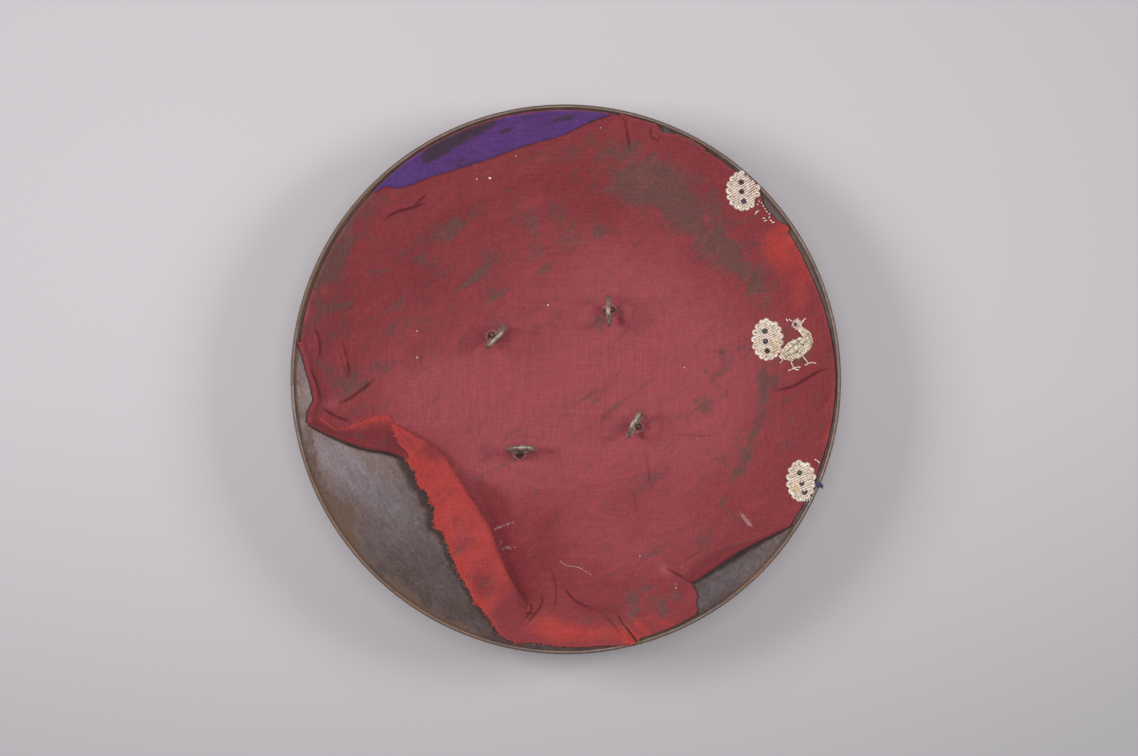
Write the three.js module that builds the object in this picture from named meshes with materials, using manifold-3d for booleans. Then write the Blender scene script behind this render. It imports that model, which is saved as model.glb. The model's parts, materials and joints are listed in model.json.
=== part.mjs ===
// Dhal: a round steel shield lying on its four outer bosses, hollow side up, with a torn cloth
// lining and four strap rings inside. Millimetres, +Z up, origin on the ground below its middle.

import * as THREE from "three";
import { mergeVertices } from "three/addons/utils/BufferGeometryUtils.js";
import Module from "manifold-3d";

const wasm = await Module();
wasm.setup();

const degree = Math.PI / 180;
const quarterTurn = 90;
const fullTurn = 360;

// Gaps between pieces
const seatGap = 0.3;
const shankClearance = 0.3;
const cutOvershoot = 1;
const weldDistance = 1e-4;

// Steel bowl
const shieldDiameter = 450;
const bowlRise = 66;
const bowlWall = 2;
const rimBeadDiameter = 3;
const bowlSides = 48;
const bowlSteps = 10;
const beadSteps = 6;

// Ring fittings, four on one circle
const fittingCircleRadius = 72;
const firstFittingBearing = 58;
const shankDiameter = 4;
const shankSides = 10;
const rivetHeadDiameter = 6;
const rivetHeadDepth = 1.5;

// Eye at the top of each shank
const eyeHoleDiameter = 4.8;
const eyeWireDiameter = 3;
const eyeSides = 14;
const eyeWireSides = 6;

// Strap ring, thickest at the crest
const ringDiameter = 26;
const ringCrestWire = 4.2;
const ringEyeWire = 3;
const ringSides = 18;
const ringWireSides = 6;

// Washer under each eye
const washerDiameter = 12;
const washerThickness = 1.2;
const washerSides = 12;

// Hollow boss outside each fitting
const bossDiameter = 50;
const bossHeight = 12;
const bossWall = 1.8;
const bossFlangeWidth = 3;
const bossFlangeThickness = 1.2;
const bossWear = 0.6;
const bossSides = 16;
const bossSteps = 3;

// Cloth lining and its sewn border
const liningThickness = 1;
const borderThickness = 0.7;
const liningRimGap = 0.7;
const borderInset = 2.5;
const outlineStep = 8;

// Folds of the torn lining
const turnBackRadius = 2;
const bandRollRadius = 3;
const bandLift = 2.5;
const bandRootShare = 0.5;
const flapStations = 10;
const noseSteps = 3;
const noseWidthShare = 0.35;

// Where each ring stands: its place round the circle and the bearing of its plane
const fittings = [
  { place: "upper_right", ringBearing: 92 },
  { place: "upper_left", ringBearing: 49.5 },
  { place: "lower_left", ringBearing: 0 },
  { place: "lower_right", ringBearing: 61 },
];

// Torn stretches of the lining's edge, in order round the rim.
// Each point is a bearing in degrees and a share of the lining's radius.
const lowerRightFold = [[-58, 0.895], [-51.5, 0.902], [-44.9, 0.919], [-39.1, 0.951], [-34.7, 0.983]];
const lowerRightTear = [[-61.2, 1], [-59.1, 0.954], ...lowerRightFold, [-33.3, 1]];
const upperRightNick = [[34.7, 1], [36.8, 0.977], [39.4, 0.97], [41.8, 0.978], [44.3, 1]];
const topTear = [[58.8, 1], [64.6, 0.985], [68.5, 0.972], [70.7, 0.992], [75.5, 0.99], [78.4, 1]];
const leftEdge = [[173, 1], [176, 0.974], [181.5, 0.948], [186, 0.939], [187, 0.965], [189.8, 0.972]];
const leftFold = [[190.8, 0.952], [192.9, 0.916], [196.1, 0.855], [199.4, 0.793], [202.7, 0.719], [206.2, 0.678]];
const underBand = [[216, 0.61], [228, 0.635], [238, 0.7], [246, 0.8], [251.5, 0.875], [258, 0.955]];
const lowerLeftTear = [...leftEdge, ...leftFold, ...underBand, [264.2, 0.988], [268.5, 1]];
const lowerSlit = [[283.2, 1], [281.6, 0.868], [285.4, 1]];
const tears = [lowerRightTear, upperRightNick, topTear, lowerLeftTear, lowerSlit];

// Free edges of the cloth that is turned back over itself, station by station with their folds
const leftFreeEdge = [[191.9, 0.93], [192.6, 0.879], [192.1, 0.822], [191.2, 0.764], [190.5, 0.703], [194.4, 0.679]];
const lowerRightFreeEdge = [[-60.9, 0.813], [-57.1, 0.807], [-51.1, 0.817], [-43.9, 0.879], [-37, 0.955]];

// The long band: a roll that lies over the lining, and a frayed edge that hangs over bare steel
const bandRoll = [
  [194.3, 0.666], [200, 0.606], [211.9, 0.544], [220.2, 0.548], [228.7, 0.568], [236.2, 0.594],
  [242.3, 0.629], [248.9, 0.705], [253.8, 0.769], [257.4, 0.813], [260, 0.865],
];
const bandFreeEdge = [
  [195.1, 0.69], [200.8, 0.676], [209.5, 0.68], [215, 0.689], [222, 0.694], [228.2, 0.743],
  [234.5, 0.766], [240.2, 0.816], [247.5, 0.889], [251.5, 0.92], [257.9, 0.981],
];

// Seam of the sewn border, from its left tip to its right tip
const borderSeam = [
  [78.9, 0.986], [85.9, 0.949], [90.6, 0.908], [100.2, 0.882], [112.4, 0.872],
  [123.5, 0.904], [130.6, 0.936], [135.8, 0.983],
];

// Sizes that follow from those above
const rimRadius = (shieldDiameter - rimBeadDiameter) / 2;
const middleRadius = (rimRadius ** 2 + bowlRise ** 2) / (2 * bowlRise);
const innerRadius = middleRadius - bowlWall / 2;
const outerRadius = middleRadius + bowlWall / 2;
const rimAngle = Math.asin(rimRadius / middleRadius);
const fittingAngle = Math.asin(fittingCircleRadius / innerRadius);
const shankHole = shankDiameter / 2 + shankClearance;
const liningRadius = shieldDiameter / 2 - rimBeadDiameter - liningRimGap;
const liningTop = seatGap + liningThickness;
const washerTop = liningTop + seatGap + washerThickness;
const eyeRadius = (eyeHoleDiameter + eyeWireDiameter) / 2;
const eyeHeight = washerTop + seatGap + eyeRadius + eyeWireDiameter / 2;
const ringRadius = (ringDiameter - (ringCrestWire + ringEyeWire) / 2) / 2;
const bossRadius = bossDiameter / 2;
const bossSphere = (bossRadius ** 2 + bossHeight ** 2) / (2 * bossHeight);
const bossSeatLevel = -bowlWall - seatGap;
const bossCentre = bossSeat(bossRadius) - bossFlangeThickness - bossHeight + bossSphere;
const bowlCentreHeight = bossSphere - bossWear + (innerRadius - bossCentre) * Math.cos(fittingAngle);

// Materials
const steel = new THREE.MeshStandardMaterial({ color: 0x5e5650, roughness: 0.55, metalness: 0.9 });
const ringIron = new THREE.MeshStandardMaterial({ color: 0x8c8078, roughness: 0.5, metalness: 0.9 });
const darkIron = new THREE.MeshStandardMaterial({ color: 0x3f3833, roughness: 0.65, metalness: 0.85 });
const redCotton = new THREE.MeshStandardMaterial({ color: 0x96434a, roughness: 0.95, metalness: 0 });
const violetCotton = new THREE.MeshStandardMaterial({ color: 0x583579, roughness: 0.9, metalness: 0 });

// Height of the bowl's outside under a boss, so that the boss's foot follows it
function bossSeat(radius) {
  return bossSeatLevel + outerRadius - Math.sqrt(outerRadius ** 2 - radius ** 2);
}

// A body with shared corners, ready to be joined or cut. Its corners are shared before it is placed.
function solidOf(geometry, placement = new THREE.Matrix4()) {
  const bare = geometry.clone();
  bare.deleteAttribute("normal");
  bare.deleteAttribute("uv");
  const welded = mergeVertices(bare, weldDistance).applyMatrix4(placement);
  const corners = welded.index.array;
  const triangles = [];
  for (let i = 0; i < corners.length; i += 3) {
    const [a, b, c] = corners.slice(i, i + 3);
    if (a !== b && b !== c && c !== a) triangles.push(a, b, c);
  }
  const vertProperties = welded.attributes.position.array;
  const triVerts = new Uint32Array(triangles);
  return new wasm.Manifold(new wasm.Mesh({ numProp: 3, vertProperties, triVerts }));
}

function geometryOf(solid) {
  const { vertProperties, triVerts } = solid.getMesh();
  const geometry = new THREE.BufferGeometry();
  geometry.setAttribute("position", new THREE.Float32BufferAttribute(vertProperties, 3));
  geometry.setIndex(new THREE.Uint32BufferAttribute(triVerts, 1));
  geometry.computeVertexNormals();
  return geometry;
}

// A turned body about Z from [radius, height] points, its outside going up
function turned(profile, sides) {
  const points = profile.map(([radius, height]) => new THREE.Vector2(radius, height));
  return new THREE.LatheGeometry(points, sides).rotateX(Math.PI / 2);
}

// A point of an arc in a profile, at an angle measured from straight down
function arcPoint(radius, centreHeight, angle) {
  return [radius * Math.sin(angle), centreHeight - radius * Math.cos(angle)];
}

function arcPoints(radius, centreHeight, from, to, steps) {
  return Array.from({ length: steps + 1 }, (_, i) => {
    return arcPoint(radius, centreHeight, from + ((to - from) * i) / steps);
  });
}

// The place in plan of a bearing and a share of the lining's radius
function planPoint([bearing, share]) {
  const radius = share * liningRadius;
  return new THREE.Vector2(radius * Math.cos(bearing * degree), radius * Math.sin(bearing * degree));
}

// A point above the bowl's inner face, measured from the bowl's centre of curvature
function abovePlan(point, lift) {
  const depth = Math.sqrt(innerRadius ** 2 - point.lengthSq());
  return new THREE.Vector3(point.x, point.y, -depth).multiplyScalar((innerRadius - lift) / innerRadius);
}

// The frame of one fitting: origin on the bowl's inner face, Z into the hollow, X along its ring
function fittingMatrix(index) {
  const bearing = (firstFittingBearing + index * quarterTurn) * degree;
  const ringBearing = fittings[index].ringBearing * degree;
  const outward = new THREE.Vector3(Math.cos(bearing), Math.sin(bearing), 0);
  const z = outward.clone().multiplyScalar(-Math.sin(fittingAngle));
  z.z = Math.cos(fittingAngle);
  const x = new THREE.Vector3(Math.cos(ringBearing), Math.sin(ringBearing), 0);
  x.z = -x.dot(z) / z.z;
  x.normalize();
  const y = z.clone().cross(x);
  const origin = z.clone().multiplyScalar(-innerRadius);
  return new THREE.Matrix4().makeBasis(x, y, z).setPosition(origin);
}

// A round hole through bowl and lining at each fitting
function shankHoles() {
  const bottom = -bowlWall - cutOvershoot;
  const top = liningTop + cutOvershoot;
  const hole = turned([[0, bottom], [shankHole, bottom], [shankHole, top], [0, top]], shankSides);
  return fittings.map((_, index) => solidOf(hole, fittingMatrix(index)));
}

// Ground below the shield, in a fitting's own frame, that wears its flat
function groundUnder(index) {
  const ground = new THREE.BoxGeometry(shieldDiameter, shieldDiameter, shieldDiameter);
  ground.translate(0, 0, -shieldDiameter / 2 - bowlCentreHeight);
  return solidOf(ground, fittingMatrix(index).invert());
}

// Steel bowl with a rolled bead at the rim
function bowlGeometry() {
  const beadRadius = rimBeadDiameter / 2;
  const joinTurn = Math.asin(bowlWall / rimBeadDiameter);
  const joinAngle = rimAngle - (beadRadius * Math.cos(joinTurn)) / middleRadius;
  const beadHeight = -middleRadius * Math.cos(rimAngle);
  const bead = [];
  for (let i = 1; i < beadSteps; i += 1) {
    const turn = rimAngle + Math.PI + joinTurn + ((2 * Math.PI - 2 * joinTurn) * i) / beadSteps;
    bead.push([rimRadius + beadRadius * Math.cos(turn), beadHeight + beadRadius * Math.sin(turn)]);
  }
  const lastStep = (rimAngle * (bowlSteps - 1)) / bowlSteps;
  const outside = arcPoints(outerRadius, 0, 0, lastStep, bowlSteps - 1);
  const inside = arcPoints(innerRadius, 0, lastStep, 0, bowlSteps - 1);
  const outerJoin = arcPoint(outerRadius, 0, joinAngle);
  const innerJoin = arcPoint(innerRadius, 0, joinAngle);
  let bowl = solidOf(turned([...outside, outerJoin, ...bead, innerJoin, ...inside], bowlSides));
  for (const hole of shankHoles()) bowl = bowl.subtract(hole);
  return geometryOf(bowl);
}

// An even sheet of cloth over the whole inside of the bowl
function clothSheet(underside, thickness) {
  const below = arcPoints(innerRadius - underside, 0, 0, rimAngle, bowlSteps);
  const above = arcPoints(innerRadius - underside - thickness, 0, rimAngle, 0, bowlSteps);
  return solidOf(turned([...below, ...above], bowlSides));
}

// An upright block with a plan outline, from under the bowl to above its rim
function planBlock(outline) {
  const depth = bowlWall + bowlRise + 2 * cutOvershoot;
  const block = new THREE.ExtrudeGeometry(new THREE.Shape(outline), { depth, bevelEnabled: false });
  return solidOf(block.translate(0, 0, -outerRadius - cutOvershoot));
}

// Arc of an outline between two bearings, without its end points
function rimArc(from, to, share) {
  const steps = Math.ceil((to - from) / outlineStep);
  return Array.from({ length: steps - 1 }, (_, i) => planPoint([from + ((to - from) * (i + 1)) / steps, share]));
}

function liningOutline() {
  return tears.flatMap((tear, i) => {
    const next = i + 1 < tears.length ? tears[i + 1][0][0] : tears[0][0][0] + fullTurn;
    return [...tear.map(planPoint), ...rimArc(tear.at(-1)[0], next, 1)];
  });
}

// One cross-section of a fold, as [distance from the fold, height] going round it
function foldSection(width, radius, underside, freeLift, rootShare) {
  const nose = Math.min(radius, noseWidthShare * width);
  const section = Array.from({ length: noseSteps + 1 }, (_, i) => {
    const turn = (i / noseSteps) * Math.PI;
    return [nose - nose * Math.sin(turn), underside + nose - nose * Math.cos(turn)];
  });
  section.push([width, freeLift + liningThickness], [width, freeLift], [rootShare * width, underside]);
  return section;
}

// A closed body of cloth between a fold and a free edge
function foldedCloth(fold, freeEdge, radius, freeLift, rootShare) {
  const foldCurve = new THREE.SplineCurve(fold.map(planPoint));
  const freeCurve = new THREE.SplineCurve(freeEdge.map(planPoint));
  const underside = seatGap + liningThickness / 2;
  const rings = Array.from({ length: flapStations + 1 }, (_, i) => {
    const start = foldCurve.getPoint(i / flapStations);
    const across = freeCurve.getPoint(i / flapStations).sub(start);
    const section = foldSection(across.length(), radius, underside, freeLift, rootShare);
    return section.map(([reach, height]) => {
      const point = start.clone().addScaledVector(across, reach / across.length());
      return abovePlan(point, height);
    });
  });
  const size = rings[0].length;
  const triangles = [];
  for (let i = 0; i < flapStations; i += 1) {
    for (let j = 0; j < size; j += 1) {
      const [a, b] = [i * size + j, i * size + ((j + 1) % size)];
      triangles.push(a, a + size, b, b, a + size, b + size);
    }
  }
  const last = flapStations * size;
  for (let j = 1; j + 1 < size; j += 1) triangles.push(0, j, j + 1, last, last + j + 1, last + j);
  const geometry = new THREE.BufferGeometry().setFromPoints(rings.flat());
  geometry.setIndex(triangles);
  return solidOf(geometry);
}

// Lining, torn where it has come away, with its folds
function liningGeometry() {
  const folds = [
    foldedCloth(leftFold, leftFreeEdge, turnBackRadius, seatGap + liningThickness / 2, 1),
    foldedCloth(lowerRightFold, lowerRightFreeEdge, turnBackRadius, seatGap + liningThickness / 2, 1),
    foldedCloth(bandRoll.toReversed(), bandFreeEdge.toReversed(), bandRollRadius, bandLift, bandRootShare),
  ];
  let lining = clothSheet(seatGap, liningThickness).intersect(planBlock(liningOutline()));
  for (const fold of folds) lining = lining.add(fold);
  for (const hole of shankHoles()) lining = lining.subtract(hole);
  return geometryOf(lining);
}

// Border strip sewn over the top of the lining
function borderGeometry() {
  const edgeShare = 1 - borderInset / liningRadius;
  const [from, to] = [borderSeam[0][0], borderSeam.at(-1)[0]];
  const seam = borderSeam.map(([bearing, share]) => planPoint([bearing, Math.min(share, edgeShare)]));
  const outline = [...rimArc(from, to, edgeShare), ...seam.reverse()];
  return geometryOf(clothSheet(liningTop + seatGap, borderThickness).intersect(planBlock(outline)));
}

// Eye, shank and rivet head of one fitting, forged as one
function eyeboltGeometry(index) {
  const eye = new THREE.TorusGeometry(eyeRadius, eyeWireDiameter / 2, eyeWireSides, eyeSides);
  const eyeUpright = new THREE.Matrix4().makeRotationY(Math.PI / 2).setPosition(0, 0, eyeHeight);
  const shankRadius = shankDiameter / 2;
  const headRadius = rivetHeadDiameter / 2;
  const headEnd = bossCentre - Math.sqrt(bossSphere ** 2 - headRadius ** 2);
  const shankTop = eyeHeight - eyeRadius;
  const shank = turned(
    [[0, headEnd], [headRadius, headEnd], [shankRadius, headEnd + rivetHeadDepth], [shankRadius, shankTop], [0, shankTop]],
    shankSides,
  );
  return geometryOf(solidOf(eye, eyeUpright).add(solidOf(shank)).subtract(groundUnder(index)));
}

function washerGeometry() {
  const outside = washerDiameter / 2;
  const bottom = liningTop + seatGap;
  const ring = [[outside, bottom], [outside, washerTop], [shankHole, washerTop], [shankHole, bottom], [outside, bottom]];
  return turned(ring, washerSides);
}

// Ring whose wire swells from the eye to the crest
function ringGeometry() {
  const ring = new THREE.TorusGeometry(ringRadius, 1, ringWireSides, ringSides);
  const points = ring.attributes.position;
  for (let i = 0; i < points.count; i += 1) {
    const point = new THREE.Vector3().fromBufferAttribute(points, i);
    const middle = new THREE.Vector3(point.x, point.y, 0).setLength(ringRadius);
    const crestShare = (1 + middle.y / ringRadius) / 2;
    const wireRadius = THREE.MathUtils.lerp(ringEyeWire, ringCrestWire, crestShare) / 2;
    point.sub(middle).multiplyScalar(wireRadius).add(middle);
    points.setXYZ(i, point.x, point.y, point.z);
  }
  return ring.rotateX(Math.PI / 2);
}

// Hollow domed boss with a flange, worn flat where it meets the ground
function bossGeometry(index) {
  const headHole = rivetHeadDiameter / 2 + shankClearance;
  const cavitySphere = bossSphere - bossWall;
  const flangeRadius = bossRadius + bossFlangeWidth;
  const footAngle = Math.acos((bossSphere - bossHeight) / bossSphere);
  const cavityAngle = Math.asin((bossRadius - bossWall) / cavitySphere);
  const dome = arcPoints(bossSphere, bossCentre, Math.asin(headHole / bossSphere), footAngle, bossSteps);
  const cavity = arcPoints(cavitySphere, bossCentre, cavityAngle, Math.asin(shankHole / cavitySphere), bossSteps);
  const flange = [
    [flangeRadius, bossSeat(bossRadius) - bossFlangeThickness],
    [flangeRadius, bossSeat(flangeRadius)],
    [bossRadius - bossWall, bossSeat(bossRadius - bossWall)],
  ];
  const boss = turned([...dome, ...flange, ...cavity, dome[0]], bossSides);
  return geometryOf(solidOf(boss).subtract(groundUnder(index)));
}

function mesh(name, geometry, material) {
  const piece = new THREE.Mesh(geometry, material);
  piece.name = name;
  return piece;
}

// One fitting: boss outside, eyebolt through the wall, washer and ring inside
function fittingGroup(index) {
  const { place } = fittings[index];
  const group = new THREE.Group();
  group.applyMatrix4(fittingMatrix(index));
  const ring = mesh(`ring_${place}`, ringGeometry(), ringIron);
  ring.position.z = eyeHeight + ringRadius;
  group.add(
    mesh(`boss_${place}`, bossGeometry(index), darkIron),
    mesh(`eyebolt_${place}`, eyeboltGeometry(index), darkIron),
    mesh(`washer_${place}`, washerGeometry(), darkIron),
    ring,
  );
  return group;
}

const shield = new THREE.Group();
shield.position.z = bowlCentreHeight;
shield.add(mesh("shell", bowlGeometry(), steel));
shield.add(mesh("lining", liningGeometry(), redCotton));
shield.add(mesh("lining_border", borderGeometry(), violetCotton));
fittings.forEach((_, index) => shield.add(fittingGroup(index)));

export default shield;
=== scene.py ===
"""Dhal: a round steel shield lying hollow up on its four outer bosses, with a torn crimson lining,
a violet border, three embroidered peacocks and four strap rings. Metres, +Z up."""

import json
import math

import bmesh
import bpy
import numpy as np
from mathutils import Matrix, Vector, kdtree, noise
from mathutils.geometry import delaunay_2d_cdt


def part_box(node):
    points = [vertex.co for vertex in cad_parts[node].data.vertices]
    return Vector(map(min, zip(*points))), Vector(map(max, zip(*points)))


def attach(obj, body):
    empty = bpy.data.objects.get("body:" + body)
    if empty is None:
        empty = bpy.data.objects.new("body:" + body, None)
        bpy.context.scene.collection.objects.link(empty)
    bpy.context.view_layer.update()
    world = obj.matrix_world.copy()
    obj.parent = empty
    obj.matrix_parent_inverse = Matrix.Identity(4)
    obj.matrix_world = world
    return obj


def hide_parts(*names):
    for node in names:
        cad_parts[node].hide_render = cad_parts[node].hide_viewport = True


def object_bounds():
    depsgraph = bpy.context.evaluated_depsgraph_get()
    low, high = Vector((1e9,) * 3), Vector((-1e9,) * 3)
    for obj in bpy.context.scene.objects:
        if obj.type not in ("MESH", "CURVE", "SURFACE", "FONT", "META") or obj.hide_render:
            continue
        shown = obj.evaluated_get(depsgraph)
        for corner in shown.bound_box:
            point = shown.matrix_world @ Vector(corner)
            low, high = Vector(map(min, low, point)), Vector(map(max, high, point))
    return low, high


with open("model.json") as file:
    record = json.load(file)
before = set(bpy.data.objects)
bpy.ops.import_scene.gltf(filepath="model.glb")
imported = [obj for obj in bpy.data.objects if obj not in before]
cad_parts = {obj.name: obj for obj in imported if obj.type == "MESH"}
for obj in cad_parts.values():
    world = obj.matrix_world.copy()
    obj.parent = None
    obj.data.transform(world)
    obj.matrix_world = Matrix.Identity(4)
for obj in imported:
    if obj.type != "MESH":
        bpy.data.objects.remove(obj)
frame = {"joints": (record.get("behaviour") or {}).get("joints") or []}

cad_low, cad_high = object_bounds()

MM = 0.001
RANDOM = np.random.default_rng(1857)

# Steel bowl, as in the frame
SHIELD_DIAMETER = 450 * MM
BOWL_RISE = 66 * MM
BOWL_WALL = 2 * MM
BEAD_DIAMETER = 3 * MM
BOWL_SIDES = 256
BOWL_STEPS = 72
BEAD_STEPS = 14

# Ring fittings, as in the frame
PLACES = ["upper_right", "upper_left", "lower_left", "lower_right"]
SEAT_GAP = 0.3 * MM
SHANK_DIAMETER = 4 * MM
SHANK_CLEARANCE = 0.3 * MM
RIVET_HEAD_DIAMETER = 6 * MM
RIVET_HEAD_DEPTH = 1.5 * MM
EYE_HOLE_DIAMETER = 4.8 * MM
EYE_WIRE_DIAMETER = 3 * MM
RING_DIAMETER = 26 * MM
RING_CREST_WIRE = 4.2 * MM
RING_EYE_WIRE = 3 * MM
WASHER_DIAMETER = 12 * MM
WASHER_THICKNESS = 1.2 * MM
WASHER_EDGE = 0.35 * MM
BOSS_DIAMETER = 50 * MM
BOSS_HEIGHT = 12 * MM
BOSS_WALL = 1.8 * MM
BOSS_FLANGE_WIDTH = 3 * MM
BOSS_FLANGE_THICKNESS = 1.2 * MM
BOSS_FOOT_LINE = (0.25 * MM, 0.6 * MM)
EASED_EDGE = 0.3 * MM
WASHER_DISH = 0.2 * MM
RING_SIDES = (96, 24)
EYE_SIDES = (64, 20)
BOLT_SIDES = 40
WASHER_SIDES = 64
BOSS_SIDES = 96
DRILL_SIDES = 32
X_AXIS = Vector((1, 0, 0))
Y_AXIS = Vector((0, 1, 0))

# Cloth
FRAME_LINING_TOP = 1.3 * MM
CLOTH_THICKNESS = 0.6 * MM
CLOTH_LIFT = SEAT_GAP + CLOTH_THICKNESS / 2
BORDER_THICKNESS = 0.5 * MM
BORDER_LIFT = 1.75 * MM
CLOTH_STEP = 2.3 * MM
TORN_STEP = 1.1 * MM
BORDER_STEP = 1.7 * MM
BROAD_SWELL = 0.45 * MM
SMALL_SWELL = 0.2 * MM
CREASE_STEEP = 0.9 * MM
CREASE_GENTLE = 4.5 * MM
# Width of the painted shade line in each crease
CREASE_LINE = 0.75 * MM
EDGE_CURL = 0.9 * MM
GATHER_HEIGHT = 1.5 * MM
SEAM_STITCH = (1.7 * MM, 0.32 * MM, 0.3 * MM)
SEAM_STITCH_STEP = 3.2 * MM
WELD = 0.3 * MM
DOUBLES = 1e-7

# Camera: straight above, leaning a little to the left and down the picture
PHOTO_WIDTH = 1138
PHOTO_HEIGHT = 756
CAMERA_TARGET = np.array([1.8, -0.5, 74.5]) * MM
CAMERA_DISTANCE = 2.0
CAMERA_LEAN = (math.radians(1.8), math.radians(3.4))
CAMERA_LENS = 77.5
SENSOR_WIDTH = 36

# Light: place and size in metres, and power in watts
LIGHTS = {
    "soft_light_left": ((-1.65, 0.25, 1.5), 0.8, 25),
    "soft_light_right": ((1.75, 0.25, 1.6), 0.8, 22),
    "soft_light_above": ((-0.05, 0.0, 2.8), 1.2, 23),
}
STUDIO_TONE = (1, 0.985, 1, 1)
STUDIO_STRENGTH = 0.13
FLOOR_REACH = 4.0
FLOOR_LIGHT_PLACE = (-0.05, 0.1, 0)

# Sizes that follow from those above and from the frame
rim_radius = (SHIELD_DIAMETER - BEAD_DIAMETER) / 2
middle_radius = (rim_radius ** 2 + BOWL_RISE ** 2) / (2 * BOWL_RISE)
inner_radius = middle_radius - BOWL_WALL / 2
outer_radius = middle_radius + BOWL_WALL / 2
rim_angle = math.asin(rim_radius / middle_radius)
bowl_centre = np.array([0, 0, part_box("shell")[0].z + outer_radius])
lining_radius = SHIELD_DIAMETER / 2 - BEAD_DIAMETER
shank_hole = SHANK_DIAMETER / 2 + SHANK_CLEARANCE
washer_bottom = FRAME_LINING_TOP + SEAT_GAP
washer_top = washer_bottom + WASHER_THICKNESS
eye_radius = (EYE_HOLE_DIAMETER + EYE_WIRE_DIAMETER) / 2
eye_height = washer_top + SEAT_GAP + eye_radius + EYE_WIRE_DIAMETER / 2
ring_radius = (RING_DIAMETER - (RING_CREST_WIRE + RING_EYE_WIRE) / 2) / 2
boss_radius = BOSS_DIAMETER / 2
boss_sphere = (boss_radius ** 2 + BOSS_HEIGHT ** 2) / (2 * BOSS_HEIGHT)
focal_pixels = CAMERA_LENS / SENSOR_WIDTH * PHOTO_WIDTH

# Torn edges and folds of the lining, in pixels of the photograph, each in the order of the outline
LOWER_RIGHT_TEAR = [(696, 616), (698, 609), (695.5, 603), (698, 597), (693.5, 587)]
FLAP_FOLD = [
    (692, 583.5), (717, 568.8), (740.9, 553.5), (764.8, 540.1), (783.9, 529.6), (791.5, 525),
]
FLAP_FREE = [
    (674, 570), (689.5, 557.5), (703.6, 550), (717, 546), (737.5, 542.5), (757, 537.5), (788, 524),
]
RIGHT_NICK = [(790, 229), (787, 225.5), (777, 220), (768, 212), (762.6, 202.3), (760.4, 189), (756, 182)]
TOP_TEAR = [
    (706, 148), (691.8, 138.6), (681.1, 134.8), (668.9, 132.5), (662.7, 131.7), (659, 125), (655.1, 122.5),
    (645.9, 121), (637, 118.5), (632.9, 117.2), (625.2, 114.1), (621.5, 112.6),
]
LEFT_EDGE = [
    (296.5, 342), (300, 350), (303, 360), (306.5, 372), (310, 385), (313.5, 400), (307.5, 411),
    (306.5, 422),
]
STRIP_FOLD = [(309.5, 425), (325.6, 433.8), (346, 443), (366.4, 450.1), (389.9, 454.2), (407, 461)]
STRIP_FREE = [
    (322, 417), (336, 429.5), (351.1, 425.6), (366.4, 419.5), (382.8, 414.4), (389.9, 415), (396, 427),
]
BAND_ROLL = [
    (395.5, 423.5), (416, 435), (433.6, 446.7), (445, 457.4), (456.5, 475), (468, 494.2), (479.5, 511.8),
    (488.5, 526), (495.5, 546), (502.5, 563), (510, 579), (518, 591), (525, 600), (527, 607), (525.5, 613),
]
BAND_FREE = [
    (391.5, 423), (399, 444.4), (405.2, 459), (409.5, 469.7), (413.5, 470), (416.7, 485.7),
    (425.9, 493.4), (429.7, 504.1), (434.7, 508.7), (432.8, 514.8), (434.5, 527.7), (442.9, 532.6),
    (447.8, 546.5), (457.7, 569.2), (467.6, 585), (474.5, 599.8), (487.3, 613.7), (498.2, 629.5),
    (508, 636.5), (520, 640.5),
]
BOTTOM_EDGE = [(530, 643), (545, 645.2), (562, 647.8), (585, 647.6), (607, 646.4), (633, 645.2)]
SLIT = [(636.8, 643), (622.4, 624.4), (612.8, 607.3), (623, 623.6), (637.8, 641.4), (639.5, 643)]

# The band's roll radius and the height of its frayed edge in millimetres, by share of its length
BAND_RADIUS = ([0, 0.1, 0.3, 0.55, 0.8, 1], [0.8, 1.6, 3.2, 4.6, 4.4, 3])
BAND_HANG = ([0, 0.08, 0.2, 0.35, 0.5, 0.7, 1], [2.5, 5.5, 8.5, 7.5, 5, 3, 1.5])

# Pixel row of the photograph below which the band's root is the edge of the flat part
BAND_ROOT_ROW = 459

# The other folds from end to end in millimetres: radius of the fold, and how far it stands off the steel
STRIP_NOSES, STRIP_RAISES = (1.2, 1.6, 2.4, 3.0, 2.4), (0.6, 1.4, 2.6, 3.6, 3.0)
FLAP_NOSES, FLAP_RAISES = (1.2, 2.4, 2.6, 2.2, 1.0), (1, 3.6, 4.2, 3, 0.4)
STRIP_GAP = 1.5 * MM
FLAP_GAP = 1.0 * MM
STRIP_STATIONS, FLAP_STATIONS, BAND_STATIONS = 64, 72, 170

# Loose ends along the folded parts: how many to a station, and the longest
BAND_FRAYS = (2.2, 4.2 * MM)
STRIP_FRAYS = (1.1, 2.6 * MM)

# Torn edges: seed, bite in millimetres, loose ends to a step and longest loose end in millimetres
TORN_EDGES = [
    (LOWER_RIGHT_TEAR, 1.0, 0.45, 0.9, 2), (RIGHT_NICK, 2.0, 0.45, 1.0, 2.4), (TOP_TEAR, 3.0, 0.45, 0.9, 2),
    (LEFT_EDGE, 4.0, 0.2, 0.3, 1.4), (BOTTOM_EDGE, 5.0, 0.45, 1.6, 2.6), (SLIT, 6.0, 0.15, 0.8, 1.8),
]

# How near the lining comes to the bead, as (bearing in degrees, share of the lining's radius)
RIM_EDGE = [
    (-75, 0.996), (-60, 0.994), (-33, 0.988), (-15, 0.992), (0, 0.996), (12, 0.99), (24, 0.984),
    (36, 0.986), (46, 0.99), (56, 0.992), (80, 0.996), (110, 0.997), (128, 0.996), (137, 0.992),
    (150, 0.992), (165, 0.992), (174, 0.99), (285, 0.996),
]

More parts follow.
